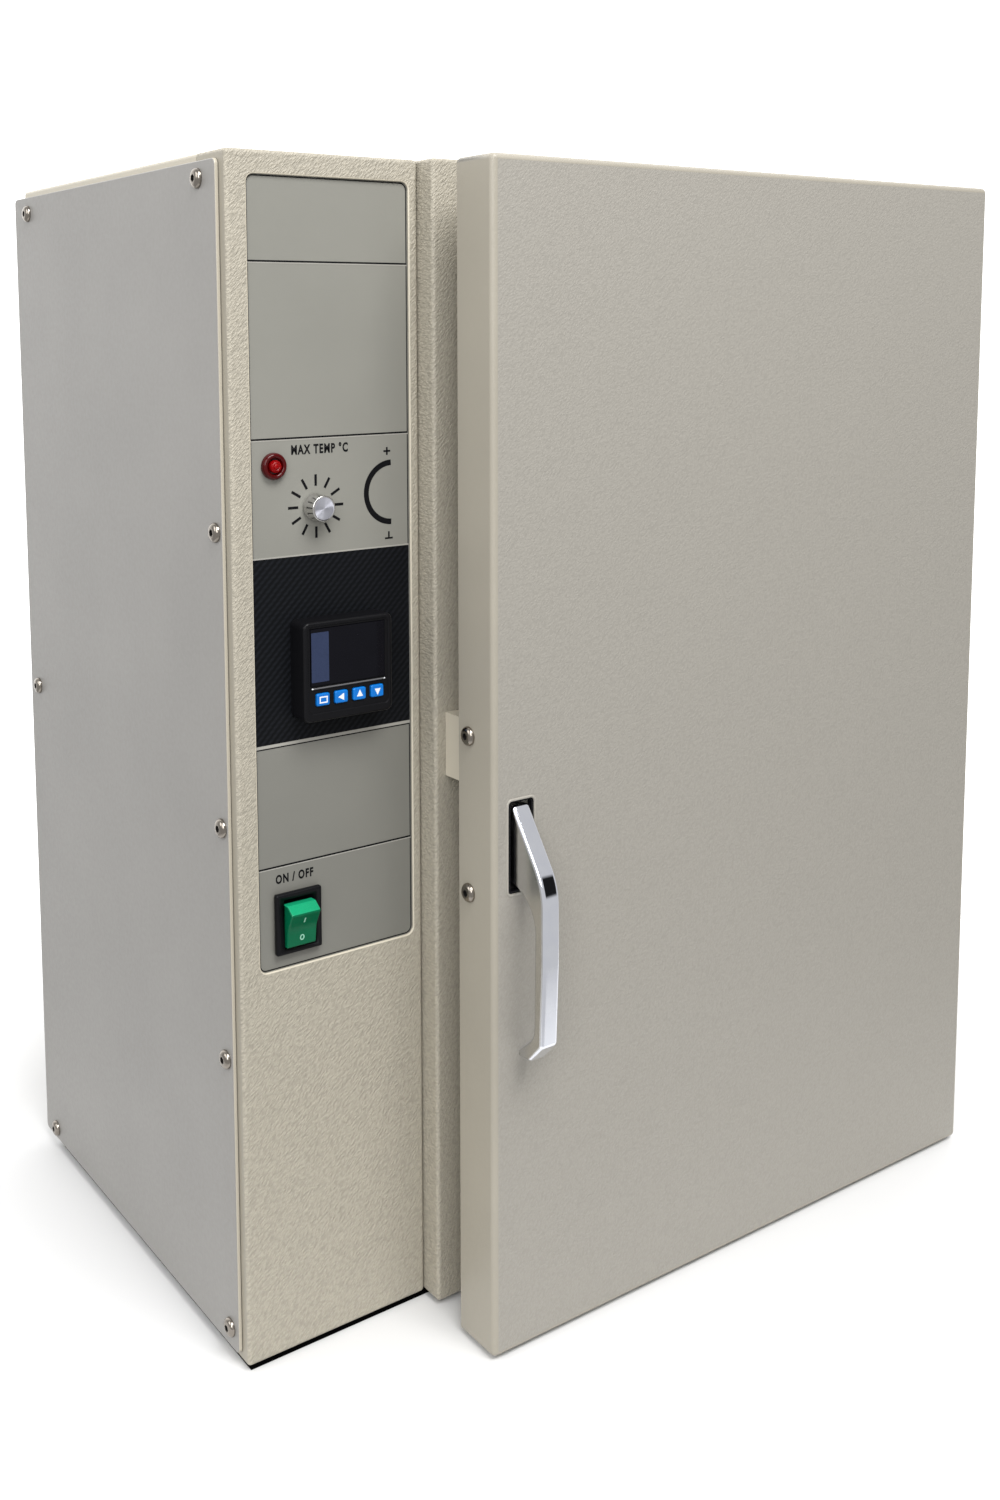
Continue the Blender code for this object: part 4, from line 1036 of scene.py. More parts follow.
@dataclass(frozen=True)
class Wool:
    """Loose mineral fibre.

    Attributes:
        name: The material's name.
        colour: Its linear colour.
    """

    name: str
    colour: Triple

    def build(self) -> Material:
        """Long turned fibres in colour and relief."""
        graph = Graph(self.name, self.colour, 0.95)
        fibre = graph.noise(graph.place((1.0, 6.0, 1.0), (20.0, 30.0, 10.0)), 260.0, 6.0)
        graph.mottle(graph.span(fibre, NOISE_SPAN, UNIT_SPAN), self.colour, 0.22)
        graph.bump(fibre, 0.8, 0.8)
        graph.put(Sheen_Weight=0.2)
        return graph.material


class Finishes:
    """Every finish of the object, made once."""

    def __init__(self) -> None:
        """Builds the materials."""
        cream, knob = (0.372, 0.342, 0.278), tuple(centre_of("thermostat_knob"))
        self.cream = GrainedPaint("cream_grained_paint", cream).build()
        self.cream_satin = SatinPaint("cream_satin_paint", shade(cream, 1.45), 0.4).build()
        # A darker copy of the cream for the column's left return: painted shade.
        self.cream_shaded_return = SatinPaint("cream_return_painted_shade", shade(cream, 0.85), 0.4).build()
        # A lighter smooth cream: the top cover's paint, and painted highlight on the side panels' edges.
        self.cream_cover_and_edge_highlight = SatinPaint("cream_cover_and_edge_highlight_paint", shade(cream, 1.2), 0.36, 0.015).build()
        # A much lighter copy of the cream for the cut-out's lip: painted highlight.
        self.cream_lip_highlight = SatinPaint("cream_lip_painted_highlight", shade(cream, 1.5), 0.34).build()
        self.door = GrainedPaint("door_grained_paint", (0.302, 0.285, 0.252), 1.7, 0.12, 0.08, 1.8).build()
        self.door_edge = SatinPaint("door_edge_paint", (0.322, 0.297, 0.246), 0.4).build()
        self.panel = SatinPaint("side_panel_paint", (0.252, 0.243, 0.229)).build()
        plate = (0.200, 0.197, 0.175)
        # The plate is darker below the band: painted shade.
        self.plate = SatinPaint("control_plate_paint", plate, 0.4, 0.16, rise=(0.30, 0.42)).build()
        self.strip = SatinPaint("plate_strip_paint", (0.32, 0.31, 0.28), 0.35).build()
        self.print = SatinPaint("printed_black", (0.006, 0.006, 0.007), 0.6, 0.2, shine=0.06).build()
        self.white_print = SatinPaint("printed_white", (0.75, 0.77, 0.80), 0.4, 0.05).build()
        self.twill = Twill("black_twill_film", (0.0028, 0.0033, 0.0042), (0.0085, 0.0095, 0.012)).build()
        self.steel = BrushedMetal("stainless_sheet", (0.60, 0.60, 0.59), 0.32).build()
        self.wire = PolishedMetal("stainless_wire", (0.62, 0.62, 0.62), 0.18).build()
        self.zinc = BrushedMetal("zinc_plated_steel", (0.52, 0.53, 0.54), 0.42, (1.0, 0.2, 0.2)).build()
        self.chrome = PolishedMetal("chrome_plate", (0.90, 0.92, 1.0), 0.035).build()
        # Rougher chrome for the lever's sides, darker than the front as painted shade.
        self.chrome_shaded_sides = PolishedMetal("chrome_plate_sides_painted_shade", (0.60, 0.60, 0.60), 0.18).build()
        self.spun = SpunMetal("spun_aluminium", (0.78, 0.79, 0.88), 0.3, axis=knob).build()
        self.turned = PolishedMetal("turned_aluminium", (0.60, 0.59, 0.58), 0.17).build()
        self.aluminium = BrushedMetal("bare_aluminium", (0.70, 0.70, 0.71), 0.36).build()
        self.screw = PolishedMetal("screw_steel", (0.30, 0.27, 0.235), 0.18).build()
        # Near black for the screws' sockets: painted shade in the hollow.
        self.socket = Moulding("socket_painted_shade", (0.012, 0.011, 0.010), 0.5, shine=0.2).build()
        self.black = Moulding("black_moulding", (0.005, 0.005, 0.006), 0.34, shine=0.13).build()
        self.glass = Moulding("dark_window", (0.003, 0.003, 0.005), 0.08, 0.5, 0.002, shine=0.12).build()
        self.display = Moulding("unlit_display", (0.026, 0.036, 0.075), 0.12, 0.5, 0.002, shine=0.12).build()
        self.blue = Moulding("blue_key", (0.001, 0.14, 0.50), 0.28, shine=0.35).build()
        self.green = Moulding("green_rocker", (0.001, 0.105, 0.045), 0.16, 0.6, 0.004, shine=0.12).build()
        # A lighter, glowing green for the rocker's upward faces: painted light, not a lamp.
        self.green_painted_top_light = Moulding("green_rocker_painted_top_light", (0.006, 0.25, 0.115), 0.14, 0.6, 0.004, glow=0.15).build()
        rim, dome = (0.055, 0.0006, 0.001), (0.21, 0.001, 0.002)
        self.red_rim = Moulding("red_lens_rim", rim, 0.1, 0.6, 0.004, 0.05, shine=0.25).build()
        self.red_dome = Moulding("red_lens_dome", dome, 0.12, 0.6, 0.004, 0.05, 0.05, 0.15).build()
        self.grey = Moulding("grey_moulding", (0.10, 0.10, 0.105), 0.3).build()
        self.pale_green = SatinPaint("rocker_sign_ink", (0.26, 0.56, 0.42), 0.4, 0.05).build()
        self.door_satin = SatinPaint("door_satin_paint", (0.33, 0.312, 0.275), 0.35).build()
        # Near black for the base pan: painted shade that darkens the gap under the cabinet.
        self.gap_shade_black = Moulding("painted_gap_shade_black", (0.012, 0.012, 0.012), 0.8, 0.8, 0.06, shine=0.1).build()
        self.rubber = Moulding("black_rubber", (0.02, 0.02, 0.02), 0.75, 0.8, 0.06).build()
        self.silicone = Moulding("pale_silicone", (0.55, 0.53, 0.49), 0.55, 0.6, 0.03).build()
        self.white = Moulding("white_moulding", (0.72, 0.72, 0.69), 0.4).build()
        self.wool = Wool("mineral_wool_batt", (0.62, 0.55, 0.36)).build()


# Fasteners


@dataclass(frozen=True)
class ButtonScrew:
    """A round button-head screw with a hexagon socket.

    Attributes:
        head_r: The head's radius.
        height: The head's height.
        socket: The hexagon's width across its flats.
        bevel: The small bevel at the head's seat.
        foot: How high the head's straight foot is.
        crown: The radius of its flat crown, as a share of the socket.
        sink: The heights of the socket's foot and floor, as shares of the head's.
    """

    head_r: float = 4.75
    height: float = 2.6
    socket: float = 3.2
    bevel: float = 0.2
    foot: float = 0.5
    crown: float = 0.72
    sink: Pair = (0.4, 0.3)

    def surface(self, side: Side, seat: Triple, turn_deg: float = 0.0, segments: int = 36) -> Surface:
        """The head: a dome in rings, whose inner rings follow the hexagon down to its floor, which is dark as
        painted shade.

        Args:
            side: The way that the head faces.
            seat: Where its axis meets the surface under it.
            turn_deg: How far the socket is turned.
            segments: How many steps go round.

        Returns:
            The surface, with its second finish in the socket.
        """
        angle = np.linspace(0, 2 * math.pi, segments, endpoint=False)
        sector = (angle + math.radians(turn_deg)) % (math.pi / 3) - math.pi / 6
        hexagon = self.socket / 2 / np.cos(sector)
        lift = arc((0.0, 90.0), 5)
        crown_r = self.socket * self.crown
        dome_r = crown_r + (self.head_r - crown_r) * lift[:, 0]
        dome_h = self.foot + (self.height - self.foot) * lift[:, 1]
        round_r = np.concatenate([[0.0, self.head_r - self.bevel, self.head_r], dome_r])
        round_h = np.concatenate([[0.0, 0.0, self.bevel], dome_h])
        radius = np.vstack([np.repeat(round_r[:, None], segments, 1), hexagon, hexagon, hexagon * 0.0])
        depth = [self.height, *(self.height * share for share in self.sink)]
        height = np.repeat(np.concatenate([round_h, depth])[:, None], segments, 1)
        local = np.stack([radius * np.cos(angle), radius * np.sin(angle), height], -1)
        faces = grid(local, wrap_columns=True).faces[0]
        outside = len(round_r) * segments
        points = to_side(local.reshape(-1, 3), side, seat)
        return Surface(points, [faces[:outside], faces[outside:]], [0, 1])


def screw_set(
    name: str, kind: ButtonScrew, side: Side, seats: Sequence[Triple], body: str, paint: Finishes
) -> None:
    """One piece for each screw of a row.

    Args:
        name: The row's name.
        kind: The screws' shape.
        side: The way that their heads face.
        seats: Where each one sits.
        body: The body that carries them.
        paint: The finishes.
    """
    for number, seat in enumerate(seats, 1):
        mesh = new_mesh(name, kind.surface(side, seat, turn_deg=SCREW_TURN_DEG * number))
        add_piece(f"{name}_{number}", mesh, paint.screw, body, (), 30.0, paint.socket)


# Sub-assemblies


@dataclass
class Casing:
    """The painted sheet casing and its fasteners.

    Attributes:
        sheet: The column's sheet thickness.
        frame_sheet: The front frame's sheet thickness.
        window: The column's cut-out, as two corners.
        window_r: The radius of its corners.
        opening: The chamber opening, as two corners.
        opening_r: The radius of its corners.
        collar_y: How far back the opening's edge goes.
        front_row: How far back and how high each screw of the sides' front row is.
        rear_row: The same for the rear row.
        rear_screw_inset: How far the rear panel's screws are from its sides.
        rear_screw_z: Their heights.
        lip_w: How far the cut-out's lip reaches over the front.
        lip_h: How thick the lip is.
        panel_r: The rounding of the side panels' corners.
        panel_edge: The rounding of their outer edges.
        edge_normal: A panel's face that looks sideways by less than this belongs to its edge.
        return_normal: A face of the column that looks left by more than this belongs to its side.
        rear_screw: The rear panel's screws.
    """

    sheet: float = 1.2
    frame_sheet: float = 1.4
    window: tuple[Pair, Pair] = ((10.7, 198.9), (99.6, 579.0))
    window_r: float = 4.0
    opening: tuple[Pair, Pair] = ((160.0, 50.0), (424.0, 540.0))
    opening_r: float = 6.6
    collar_y: float = 6.0
    front_row: tuple[Pair, ...] = ((23.0, 577.8), (12.0, 413.9), (12.0, 271.3), (12.5, 155.2), (14.0, 14.7))
    rear_row: tuple[Pair, ...] = ((246.5, 576.3), (254.5, 293.6), (250.0, 10.9))
    rear_screw_inset: float = 9.0
    rear_screw_z: tuple[float, ...] = (28.0, 295.0, 562.0)
    lip_w: float = 0.6
    lip_h: float = 0.55
    panel_r: float = 3.0
    panel_edge: float = 0.7
    # edge_normal: A panel's face that looks sideways by less than this belongs to its edge, which gets a
    # light cream as painted highlight.
    edge_normal: float = 0.6
    # return_normal: A face of the column that looks left by more than this belongs to its side, which gets a
    # darker cream as painted shade.
    return_normal: float = 0.95
    rear_screw: ButtonScrew = ButtonScrew(3.6, 2.0, 2.4)

    def build(self, paint: Finishes) -> None:
        """Makes the fronts and the sides, dresses the rest and drives the screws."""
        self.front("column_front", self.window, self.window_r, self.sheet, self.sheet, paint)
        self.front("front_frame", self.opening, self.opening_r, self.frame_sheet, self.collar_y, paint)
        self.lip(paint)
        for node, side in (("left_side_panel", Side.LEFT), ("right_side_panel", Side.RIGHT)):
            mesh = new_mesh(node, box_slab(node, side, self.panel_r, self.panel_edge))
            # The side panels' edges get a light cream: painted highlight.
            second_where(mesh, np.abs(normals_of(mesh)[:, 0]) < self.edge_normal)
            edge = paint.cream_cover_and_edge_highlight
            add_piece(f"{node}_sheet", mesh, paint.panel, "cabinet", (node,), second=edge)
        smooth_copy("rear_panel", paint.cream)
        smooth_copy("top_cover", paint.cream_cover_and_edge_highlight)
        smooth_copy("striker", paint.cream_satin)
        # The base pan wears black as painted shade for the gap under the cabinet.
        smooth_copy("base_pan", paint.gap_shade_black)
        feet = [f"foot_{end}_{side}" for end in ("front", "rear") for side in ("left", "right")]
        dress(paint.rubber, *feet)
        self.side_screws(paint)
        self.rear_screws(paint)

    def front(
        self, node: str, hole: tuple[Pair, Pair], hole_r: float, sheet: float, collar: float, paint: Finishes
    ) -> None:
        """One folded front.

        Args:
            node: The CAD node that it stands for.
            hole: Its opening, as two corners.
            hole_r: The radius of the opening's corners.
            sheet: Its thickness.
            collar: How far back the opening's edge goes.
            paint: The finishes.
        """
        low, high = box_mm(node)
        shape = FoldedPanel(
            (low[0], low[2]), (high[0], high[2]), *hole, low[1], high[1], collar, sheet, window_r=hole_r
        )
        mesh = new_mesh(node, shape.surface())
        # The column's left-facing faces get the darker cream of painted shade.
        if node == "column_front":
            second_where(mesh, normals_of(mesh)[:, 0] < -self.return_normal)
        side = paint.cream_shaded_return
        add_piece(f"{node}_sheet", mesh, paint.cream, "cabinet", (node,), second=side)

    def lip(self, paint: Finishes) -> None:
        """The glossy rounded edge of the cut-out, a quarter round all the way, in a lighter cream that is
        painted highlight.
        """
        low, high = np.array(self.window)
        inner = rectangle((low + high) / 2, high - low - 0.1, self.window_r - 0.05)
        outer = rectangle((low + high) / 2, high - low + 2 * self.lip_w, self.window_r + self.lip_w)
        turn = arc((180.0, 90.0), 6) * (1.0, self.lip_w) + (1.0, -self.lip_h)
        section = np.vstack([turn, (1.0, -0.3), (0.4, -self.lip_h)])
        front = box_mm("column_front")[0][1]
        surface = ring(inner, outer, section, Side.FRONT, (0, front, 0))
        add_piece("cut_out_lip", new_mesh("cut_out_lip", surface), paint.cream_lip_highlight, "cabinet")

    def side_screws(self, paint: Finishes) -> None:
        """Two rows of button heads on each side panel."""
        places = self.front_row + self.rear_row
        left, right = box_mm("left_side_panel")[0][0], box_mm("right_side_panel")[1][0]
        for name, x, side in (("left", left, Side.LEFT), ("right", right, Side.RIGHT)):
            seats = [(x, y, z) for y, z in places]
            screw_set(f"{name}_panel_screw", ButtonScrew(), side, seats, "cabinet", paint)

    def rear_screws(self, paint: Finishes) -> None:
        """Screws down both sides of the rear panel."""
        low, high = box_mm("rear_panel")
        columns = (low[0] + self.rear_screw_inset, high[0] - self.rear_screw_inset)
        seats = [(x, high[1], z) for x in columns for z in self.rear_screw_z]
        screw_set("rear_panel_screw", self.rear_screw, Side.REAR, seats, "cabinet", paint)


def marks(
    name: str,
    outlines: Sequence[np.ndarray],
    face_y: float,
    material: Material,
    body: str = "cabinet",
    thick: float = 0.06,
) -> None:
    """Flat marks on a face that looks to the front.

    Args:
        name: The piece's name.
        outlines: The marks' outlines, as points of x and z.
        face_y: Where the face is.
        material: The marks' finish.
        body: The body that they ride on.
        thick: How far they stand off the face.
    """
    surface = Surface(np.empty((0, 3)))
    for outline in outlines:
        surface += slab(outline, (0.0, thick), NO_EDGE, Side.FRONT, (0, face_y, 0), 1)
    add_piece(name, new_mesh(name, surface), material, body)


@dataclass
class ControlPlate:
    """The grey plate with its printed marks, lamp and thermostat knob.

    Attributes:
        lap: How far the plate goes behind the column's sheet.
        gap_shadow_inset: Where the thin dark line of painted shadow starts and ends, in from the cut-out.
        lines_z: The heights of the thin dividing lines.
        line_w: Their width.
        band_z: The black band's lower and upper edges.
        corner_r: The rounding of the cut-out's corners, which the dark line follows.
        strip_h: The height of the bare strip under the band.
        upper_strip_h: The height of the one over it.
        strip_line_h: The height of the line under the lower strip.
        ink: How far print stands on the plate.
        ticks_at: The centre of the dial's ticks.
        tick_r: Where the ticks start and end.
        ticks: How many ticks go round.
        tick_w: Their width.
        arc_at: The centre of the thick arc.
        arc_r: Its radius.
        arc_w: Its width.
        plus: The centre of the plus sign.
        minus: The centre of the lower sign's bar.
        plus_bar: The width and height of the plus sign's bar.
        plus_arm: The width and height of its arms, and how far their middles are from its own.
        minus_bar: The width and height of the lower sign's bar.
        minus_post: The same of its post, and how far its middle is above the bar's.
        margin: How far the lines and the band stay from the cut-out's sides.
        edge_h: The height of the bare edge under a dividing line.
        band_lap: How far the band goes under the controller's rim.
        lamp_roll: The half width and the height of the lamp's rounded rim.
        lamp_seat: How high the rim's roll and the lamp's floor are.
        dome_steps: The lamp's dome in rings: radius and height.
        dome_cap: The top ring's height, and the half width and height of the cap on it.
        knob_gap: How far the knob's foot is off the plate.
        knob_taper: How much narrower the knob is at its face.
        knob_edge: The rounding of its face's edge.
        knob_dish: How deep its face is sunk at the rim and, further, in the middle.
        knob_foot: The bevel at its foot.
        knob_stem: The radius of its stem, and how far back that goes.
        knob_steps: How many steps go round the knob.
        labels: Plain words, their letters' height and where their middle is.
    """

    lap: float = 2.8
    gap_shadow_inset: Pair = (0.35, 0.85)
    lines_z: tuple[float, ...] = (539.6, 457.1, 250.3)
    line_w: float = 0.85
    band_z: Pair = (311.0, 400.6)
    corner_r: float = 4.0
    strip_h: float = 1.5
    upper_strip_h: float = 0.7
    strip_line_h: float = 0.6
    ink: float = 0.08
    ticks_at: Pair = (46.0, 423.9)
    tick_r: Pair = (9.8, 15.3)
    ticks: int = 12
    tick_w: float = 1.3
    arc_at: Pair = (89.3, 427.9)
    arc_r: float = 14.7
    arc_w: float = 2.8
    plus: Pair = (86.8, 448.3)
    minus: Pair = (87.6, 405.0)
    plus_bar: Pair = (4.0, 0.9)
    plus_arm: Triple = (0.95, 1.5, 1.2)
    minus_bar: Pair = (4.6, 0.85)
    minus_post: Triple = (0.9, 2.9, 1.9)
    margin: float = 0.4
    edge_h: float = 0.55
    band_lap: float = 3.0
    lamp_roll: Pair = (1.35, 1.7)
    lamp_seat: Pair = (1.2, 0.7)
    dome_steps: tuple[Pair, ...] = (
        (0.0, 0.75), (3.0, 0.75), (3.0, 2.8), (2.75, 3.1), (2.4, 3.0), (2.1, 3.5), (1.8, 3.6), (1.5, 3.4),
    )
    dome_cap: Triple = (3.4, 1.4, 0.8)
    knob_gap: float = 0.5
    knob_taper: float = 0.45
    knob_edge: float = 0.5
    knob_dish: Pair = (0.15, 0.12)
    knob_foot: float = 0.4
    knob_stem: Pair = (3.0, -20.0)
    knob_steps: int = 72
    labels: tuple[tuple[str, float, Pair], ...] = (
        ("MAX TEMP °C", 4.2, (48.5, 451.2)),
        ("ON / OFF", 4.1, (31.0, 243.6)),
    )

    def build(self, paint: Finishes) -> None:
        """Dresses the plate and adds what is printed and fitted on it."""
        dress(paint.plate, "control_plate")
        low, high = box_mm("control_plate")
        self.face_y = low[1]
        self.low, self.high = low[[0, 2]] + self.lap, high[[0, 2]] - self.lap
        self.gap_shadow_line(paint)
        self.dividers(paint)
        self.band(paint)
        self.dial_marks(paint)
        self.arc_marks(paint)
        for number, (text, height, (x, z)) in enumerate(self.labels, 1):
            mesh = lettering(text, height, (x, self.face_y - self.ink / 2, z), self.ink)
            add_piece(f"plate_label_{number}", mesh, paint.print, "cabinet")
        self.lamp(paint)
        self.knob(paint)

    def printed(self, name: str, outlines: Sequence[np.ndarray], material: Material) -> None:
        """A set of flat marks on the plate, from outlines of x and z."""
        marks(name, outlines, self.face_y, material, thick=self.ink)

    def across(self, low: float, high: float) -> np.ndarray:
        """A bar across the plate between two heights."""
        left, right = self.low[0] + self.margin, self.high[0] - self.margin
        return rectangle(((left + right) / 2, (low + high) / 2), (right - left, high - low))

    def gap_shadow_line(self, paint: Finishes) -> None:
        """A thin dark line inside the cut-out's edge: painted shadow of the gap between the plate and the
        sheet.
        """
        middle, size = (self.low + self.high) / 2, self.high - self.low
        outer, inner = (rectangle(middle, size - 2 * inset, self.corner_r - inset) for inset in self.gap_shadow_inset)
        surface = ring(inner, outer, flat_section(self.ink * 0.8), Side.FRONT, (0, self.face_y, 0))
        add_piece("plate_painted_gap_shadow", new_mesh("plate_painted_gap_shadow", surface), paint.print, "cabinet")

    def dividers(self, paint: Finishes) -> None:
        """Thin dark lines across the plate, each with a bare edge under it."""
        half = self.line_w / 2
        self.printed("plate_lines", [self.across(z - half, z + half) for z in self.lines_z], paint.print)
        edges = [self.across(z - half - self.edge_h, z - half) for z in self.lines_z]
        self.printed("plate_line_edges", edges, paint.strip)

    def band(self, paint: Finishes) -> None:
        """The black film across the plate round the controller, with a bare strip and a line under it."""
        low, high = self.band_z
        hole_low, hole_high = box_mm("controller_case")
        lap = self.band_lap
        bottom, top = hole_low[2] + lap, hole_high[2] - lap
        left, right = self.low[0] + self.margin, self.high[0] - self.margin
        sheets = [self.across(low, bottom), self.across(top, high)]
        for a, b in ((left, hole_low[0] + lap), (hole_high[0] - lap, right)):
            sheets.append(rectangle(((a + b) / 2, (bottom + top) / 2), (b - a, top - bottom)))
        self.printed("black_band", sheets, paint.twill)
        under = low - self.strip_h
        strips = [self.across(under, low), self.across(high, high + self.upper_strip_h)]
        self.printed("band_strip", strips, paint.strip)
        self.printed("band_strip_line", [self.across(under - self.strip_line_h, under)], paint.print)

    def dial_marks(self, paint: Finishes) -> None:
        """Ticks in equal steps round the knob."""
        spoke = arc((0.0, 360.0), self.ticks)[:-1]
        ends = np.array(self.ticks_at) + np.array(self.tick_r)[None, :, None] * spoke[:, None]
        self.printed("dial_ticks", [stroke(path, self.tick_w) for path in ends], paint.print)

    def arc_marks(self, paint: Finishes) -> None:
        """The thick half circle, with a plus over it and a bar with a short upright under it."""
        path = np.array(self.arc_at) + self.arc_r * arc((91.0, 269.0), 40)
        self.printed("dial_arc", [stroke(path, self.arc_w)], paint.print)
        (x, z), (*size, away) = self.plus, self.plus_arm
        arms = [rectangle((x, z + s * away), size) for s in (-1, 1)]
        self.printed("plus_sign", [rectangle(self.plus, self.plus_bar), *arms], paint.print)
        (x, z), (*size, away) = self.minus, self.minus_post
        post = rectangle((x, z + away), size)
        self.printed("lower_sign", [rectangle(self.minus, self.minus_bar), post], paint.print)

    def lamp(self, paint: Finishes) -> None:
        """The red lens: a round glossy rim, a groove and a dome in three rings."""
        low, high = box_mm("lamp_lens")
        radius = (high[0] - low[0]) / 2
        x, _, z = centre_of("lamp_lens")
        seat = (x, high[1], z)
        half, (rim_h, floor_h) = self.lamp_roll[0], self.lamp_seat
        rim = np.array((radius - half, rim_h)) + arc((0.0, 180.0), 14) * self.lamp_roll
        shape = [(0.0, 0.0), (radius, 0.0), *map(tuple, rim), (radius - 2 * half, floor_h), (0.0, floor_h)]
        mesh = new_mesh("lamp_rim", turned(shape, Side.FRONT, seat))
        add_piece("lamp_rim", mesh, paint.red_rim, "cabinet", ("lamp_lens",), 50.0)
        cap = np.array((0.0, self.dome_cap[0])) + arc((20.0, 90.0), 8) * self.dome_cap[1:]
        mesh = new_mesh("lamp_dome", turned([*self.dome_steps, *map(tuple, cap)], Side.FRONT, seat))
        add_piece("lamp_dome", mesh, paint.red_dome, "cabinet", (), 50.0)

    def knob(self, paint: Finishes) -> None:
        """The spun knob: a side that tapers a little, a rounded edge and a slightly dished face."""
        low, high = box_mm("thermostat_knob")
        radius = (high[0] - low[0]) / 2
        base = self.face_y - self.knob_gap
        tall = base - low[1]
        x, _, z = centre_of("thermostat_knob")
        seat = (x, base, z)
        rim, soft = radius - self.knob_taper, self.knob_edge
        edge = np.array((rim - soft, tall - soft)) + soft * arc((0.0, 90.0), 5)
        rings = np.linspace(rim - soft - 0.4, 0.0, 14)
        sink, dish = self.knob_dish
        face = np.stack([rings, tall - sink - dish * (1 - (rings / radius) ** 2)], -1)
        (stem, back), foot = self.knob_stem, self.knob_foot
        skirt = [(stem, back), (stem, 0.0), (radius - foot, 0.0), (radius, foot)]
        shape = [(0.0, back), *skirt, *map(tuple, edge), *map(tuple, face)]
        surface = turned(shape, Side.FRONT, seat, self.knob_steps)
        front = (len(face) - 1) * self.knob_steps
        parts = [surface.faces[0][:-front], surface.faces[0][-front:]]
        mesh = new_mesh("knob", Surface(surface.points, parts, [0, 1]))
        stands_for = ("thermostat_knob",)
        add_piece("knob_turned", mesh, paint.turned, "knob", stands_for, 40.0, paint.spun)


@dataclass
class Controller:
    """The panel controller: case, window, keys and their signs.

    Attributes:
        corner_r: The rounding of the case's corners.
        edge: The rounding of its front edge.
        field: The sunk field in its front, as two corners.
        field_r: The rounding of the field's corners.
        field_depth: How deep the field is.
        body: The width of the body behind the plate.
        lift: How far the rim's back is off the plate.
        gap: The gap round the window and the keys.
        display_w: The width of the unlit display's shown part.
        display_in: How far it is from the window's left edge, and from its lower and upper edges.
        icon: The size of a key's sign.
        icon_w: The width of its lines.
        bar_h: The height of the bar under the window.
        bar_drop: How far below the window the bar's middle is.
        bar_span: How far the bar goes into the case and stands off it.
        key_r: The rounding of a key's corners.
        key_edge: The rounding of its face's edge.
        pocket_r: The rounding of the pockets' corners, for the window and for a key.
        key_travel: How much deeper than a key its pocket is.
    """

    corner_r: float = 3.2
    edge: float = 1.3
    field: tuple[Pair, Pair] = ((33.1, 326.2), (78.1, 368.2))
    field_r: float = 2.0
    field_depth: float = 0.5
    body: float = 44.4
    lift: float = 0.3
    gap: float = 0.35
    display_w: float = 9.6
    display_in: Pair = (0.3, 1.7)
    icon: float = 3.5
    icon_w: float = 0.6
    bar_h: float = 0.7
    bar_drop: float = 1.3
    bar_span: Pair = (-0.2, 0.35)
    key_r: float = 1.0
    key_edge: float = 0.7
    pocket_r: Pair = (0.2, 1.2)
    key_travel: float = 1.4

    def build(self, paint: Finishes) -> None:
        """Dresses the controller."""
        self.case(paint)
        dress(paint.glass, "controller_window")
        low, high = box_mm("controller_window")
        left, above = self.display_in
        centre = (low[0] + left + self.display_w / 2, (low[2] + high[2]) / 2)
        display = rectangle(centre, (self.display_w, high[2] - low[2] - 2 * above), 0.3, 2)
        marks("controller_display", [display], low[1], paint.display)
        middle, width, z = (low[0] + high[0]) / 2, high[0] - low[0], low[2] - self.bar_drop
        outline = rectangle((middle, z), (width, self.bar_h), 0.3)
        bar = slab(outline, self.bar_span, (0.0, 0.25), Side.FRONT, (0, low[1], 0))
        add_piece("controller_bar", new_mesh("controller_bar", bar), paint.grey, "cabinet")
        # Two small white marks at the bar's ends: painted highlights.
        ends = [rectangle((x, z + 0.15), (0.9, 0.55), 0.2, 2) for x in (low[0] + 0.5, high[0] - 0.5)]
        marks("controller_bar_painted_highlights", ends, low[1] - self.bar_span[1], paint.white_print)
        for number, sign in enumerate(KeySign, 1):
            self.key(number, sign, paint)

    def case(self, paint: Finishes) -> None:
        """The case: outlines from the plate round the edge into the field, a body behind, and pockets."""
        low, high = box_mm("controller_case")
        seat = box_mm("control_plate")[0][1] - self.lift
        middle, size = (low + high)[[0, 2]] / 2, (high - low)[[0, 2]]
        quarter = arc((0.0, 90.0), 5)
        rows = [(rectangle(middle, size, self.corner_r), seat)]
        for c, s in quarter:
            inset = self.edge * (1 - c)
            shape = rectangle(middle, size - 2 * inset, self.corner_r - inset)
            rows.append((shape, low[1] + self.edge * (1 - s)))
        corner, across = np.array(self.field[0]), np.ptp(self.field, axis=0)
        for c, s in quarter[::-1]:
            grow = self.field_depth * (1 - c)
            shape = rectangle(corner + across / 2, across + 2 * grow, self.field_r + grow)
            rows.append((shape, low[1] + self.field_depth * (1 - s)))
        back = rectangle(middle, (self.body, self.body), 0.5)
        rear = slab(back, (-high[1], self.lift - seat), (0.3, 0.0), Side.FRONT, (0, 0, 0), 1)
        surface = layers(rows) + rear
        window_r, key_r = self.pocket_r
        pockets = [self.pocket("controller_window", window_r)]
        pockets += [self.pocket(f"controller_key_{n}", key_r) for n in range(1, len(KeySign) + 1)]
        mesh = carved(new_mesh("controller_case", surface), *pockets)
        add_piece("controller_bezel", mesh, paint.black, "cabinet", ("controller_case",))

    def pocket(self, node: str, radius: float) -> Surface:
        """The room round a node that sits in the case's front.

        Args:
            node: The node.
            radius: The rounding of the room's corners.

        Returns:
            The room as a closed surface.
        """
        low, high = box_mm(node)
        room = (high - low)[[0, 2]] + 2 * self.gap
        depth = self.key_travel if "key" in node else self.gap
        outline = rectangle((low + high)[[0, 2]] / 2, room, radius)
        return slab(outline, (-high[1] - depth, 6.0 - low[1]), NO_EDGE, Side.FRONT, (0, 0, 0), 1)

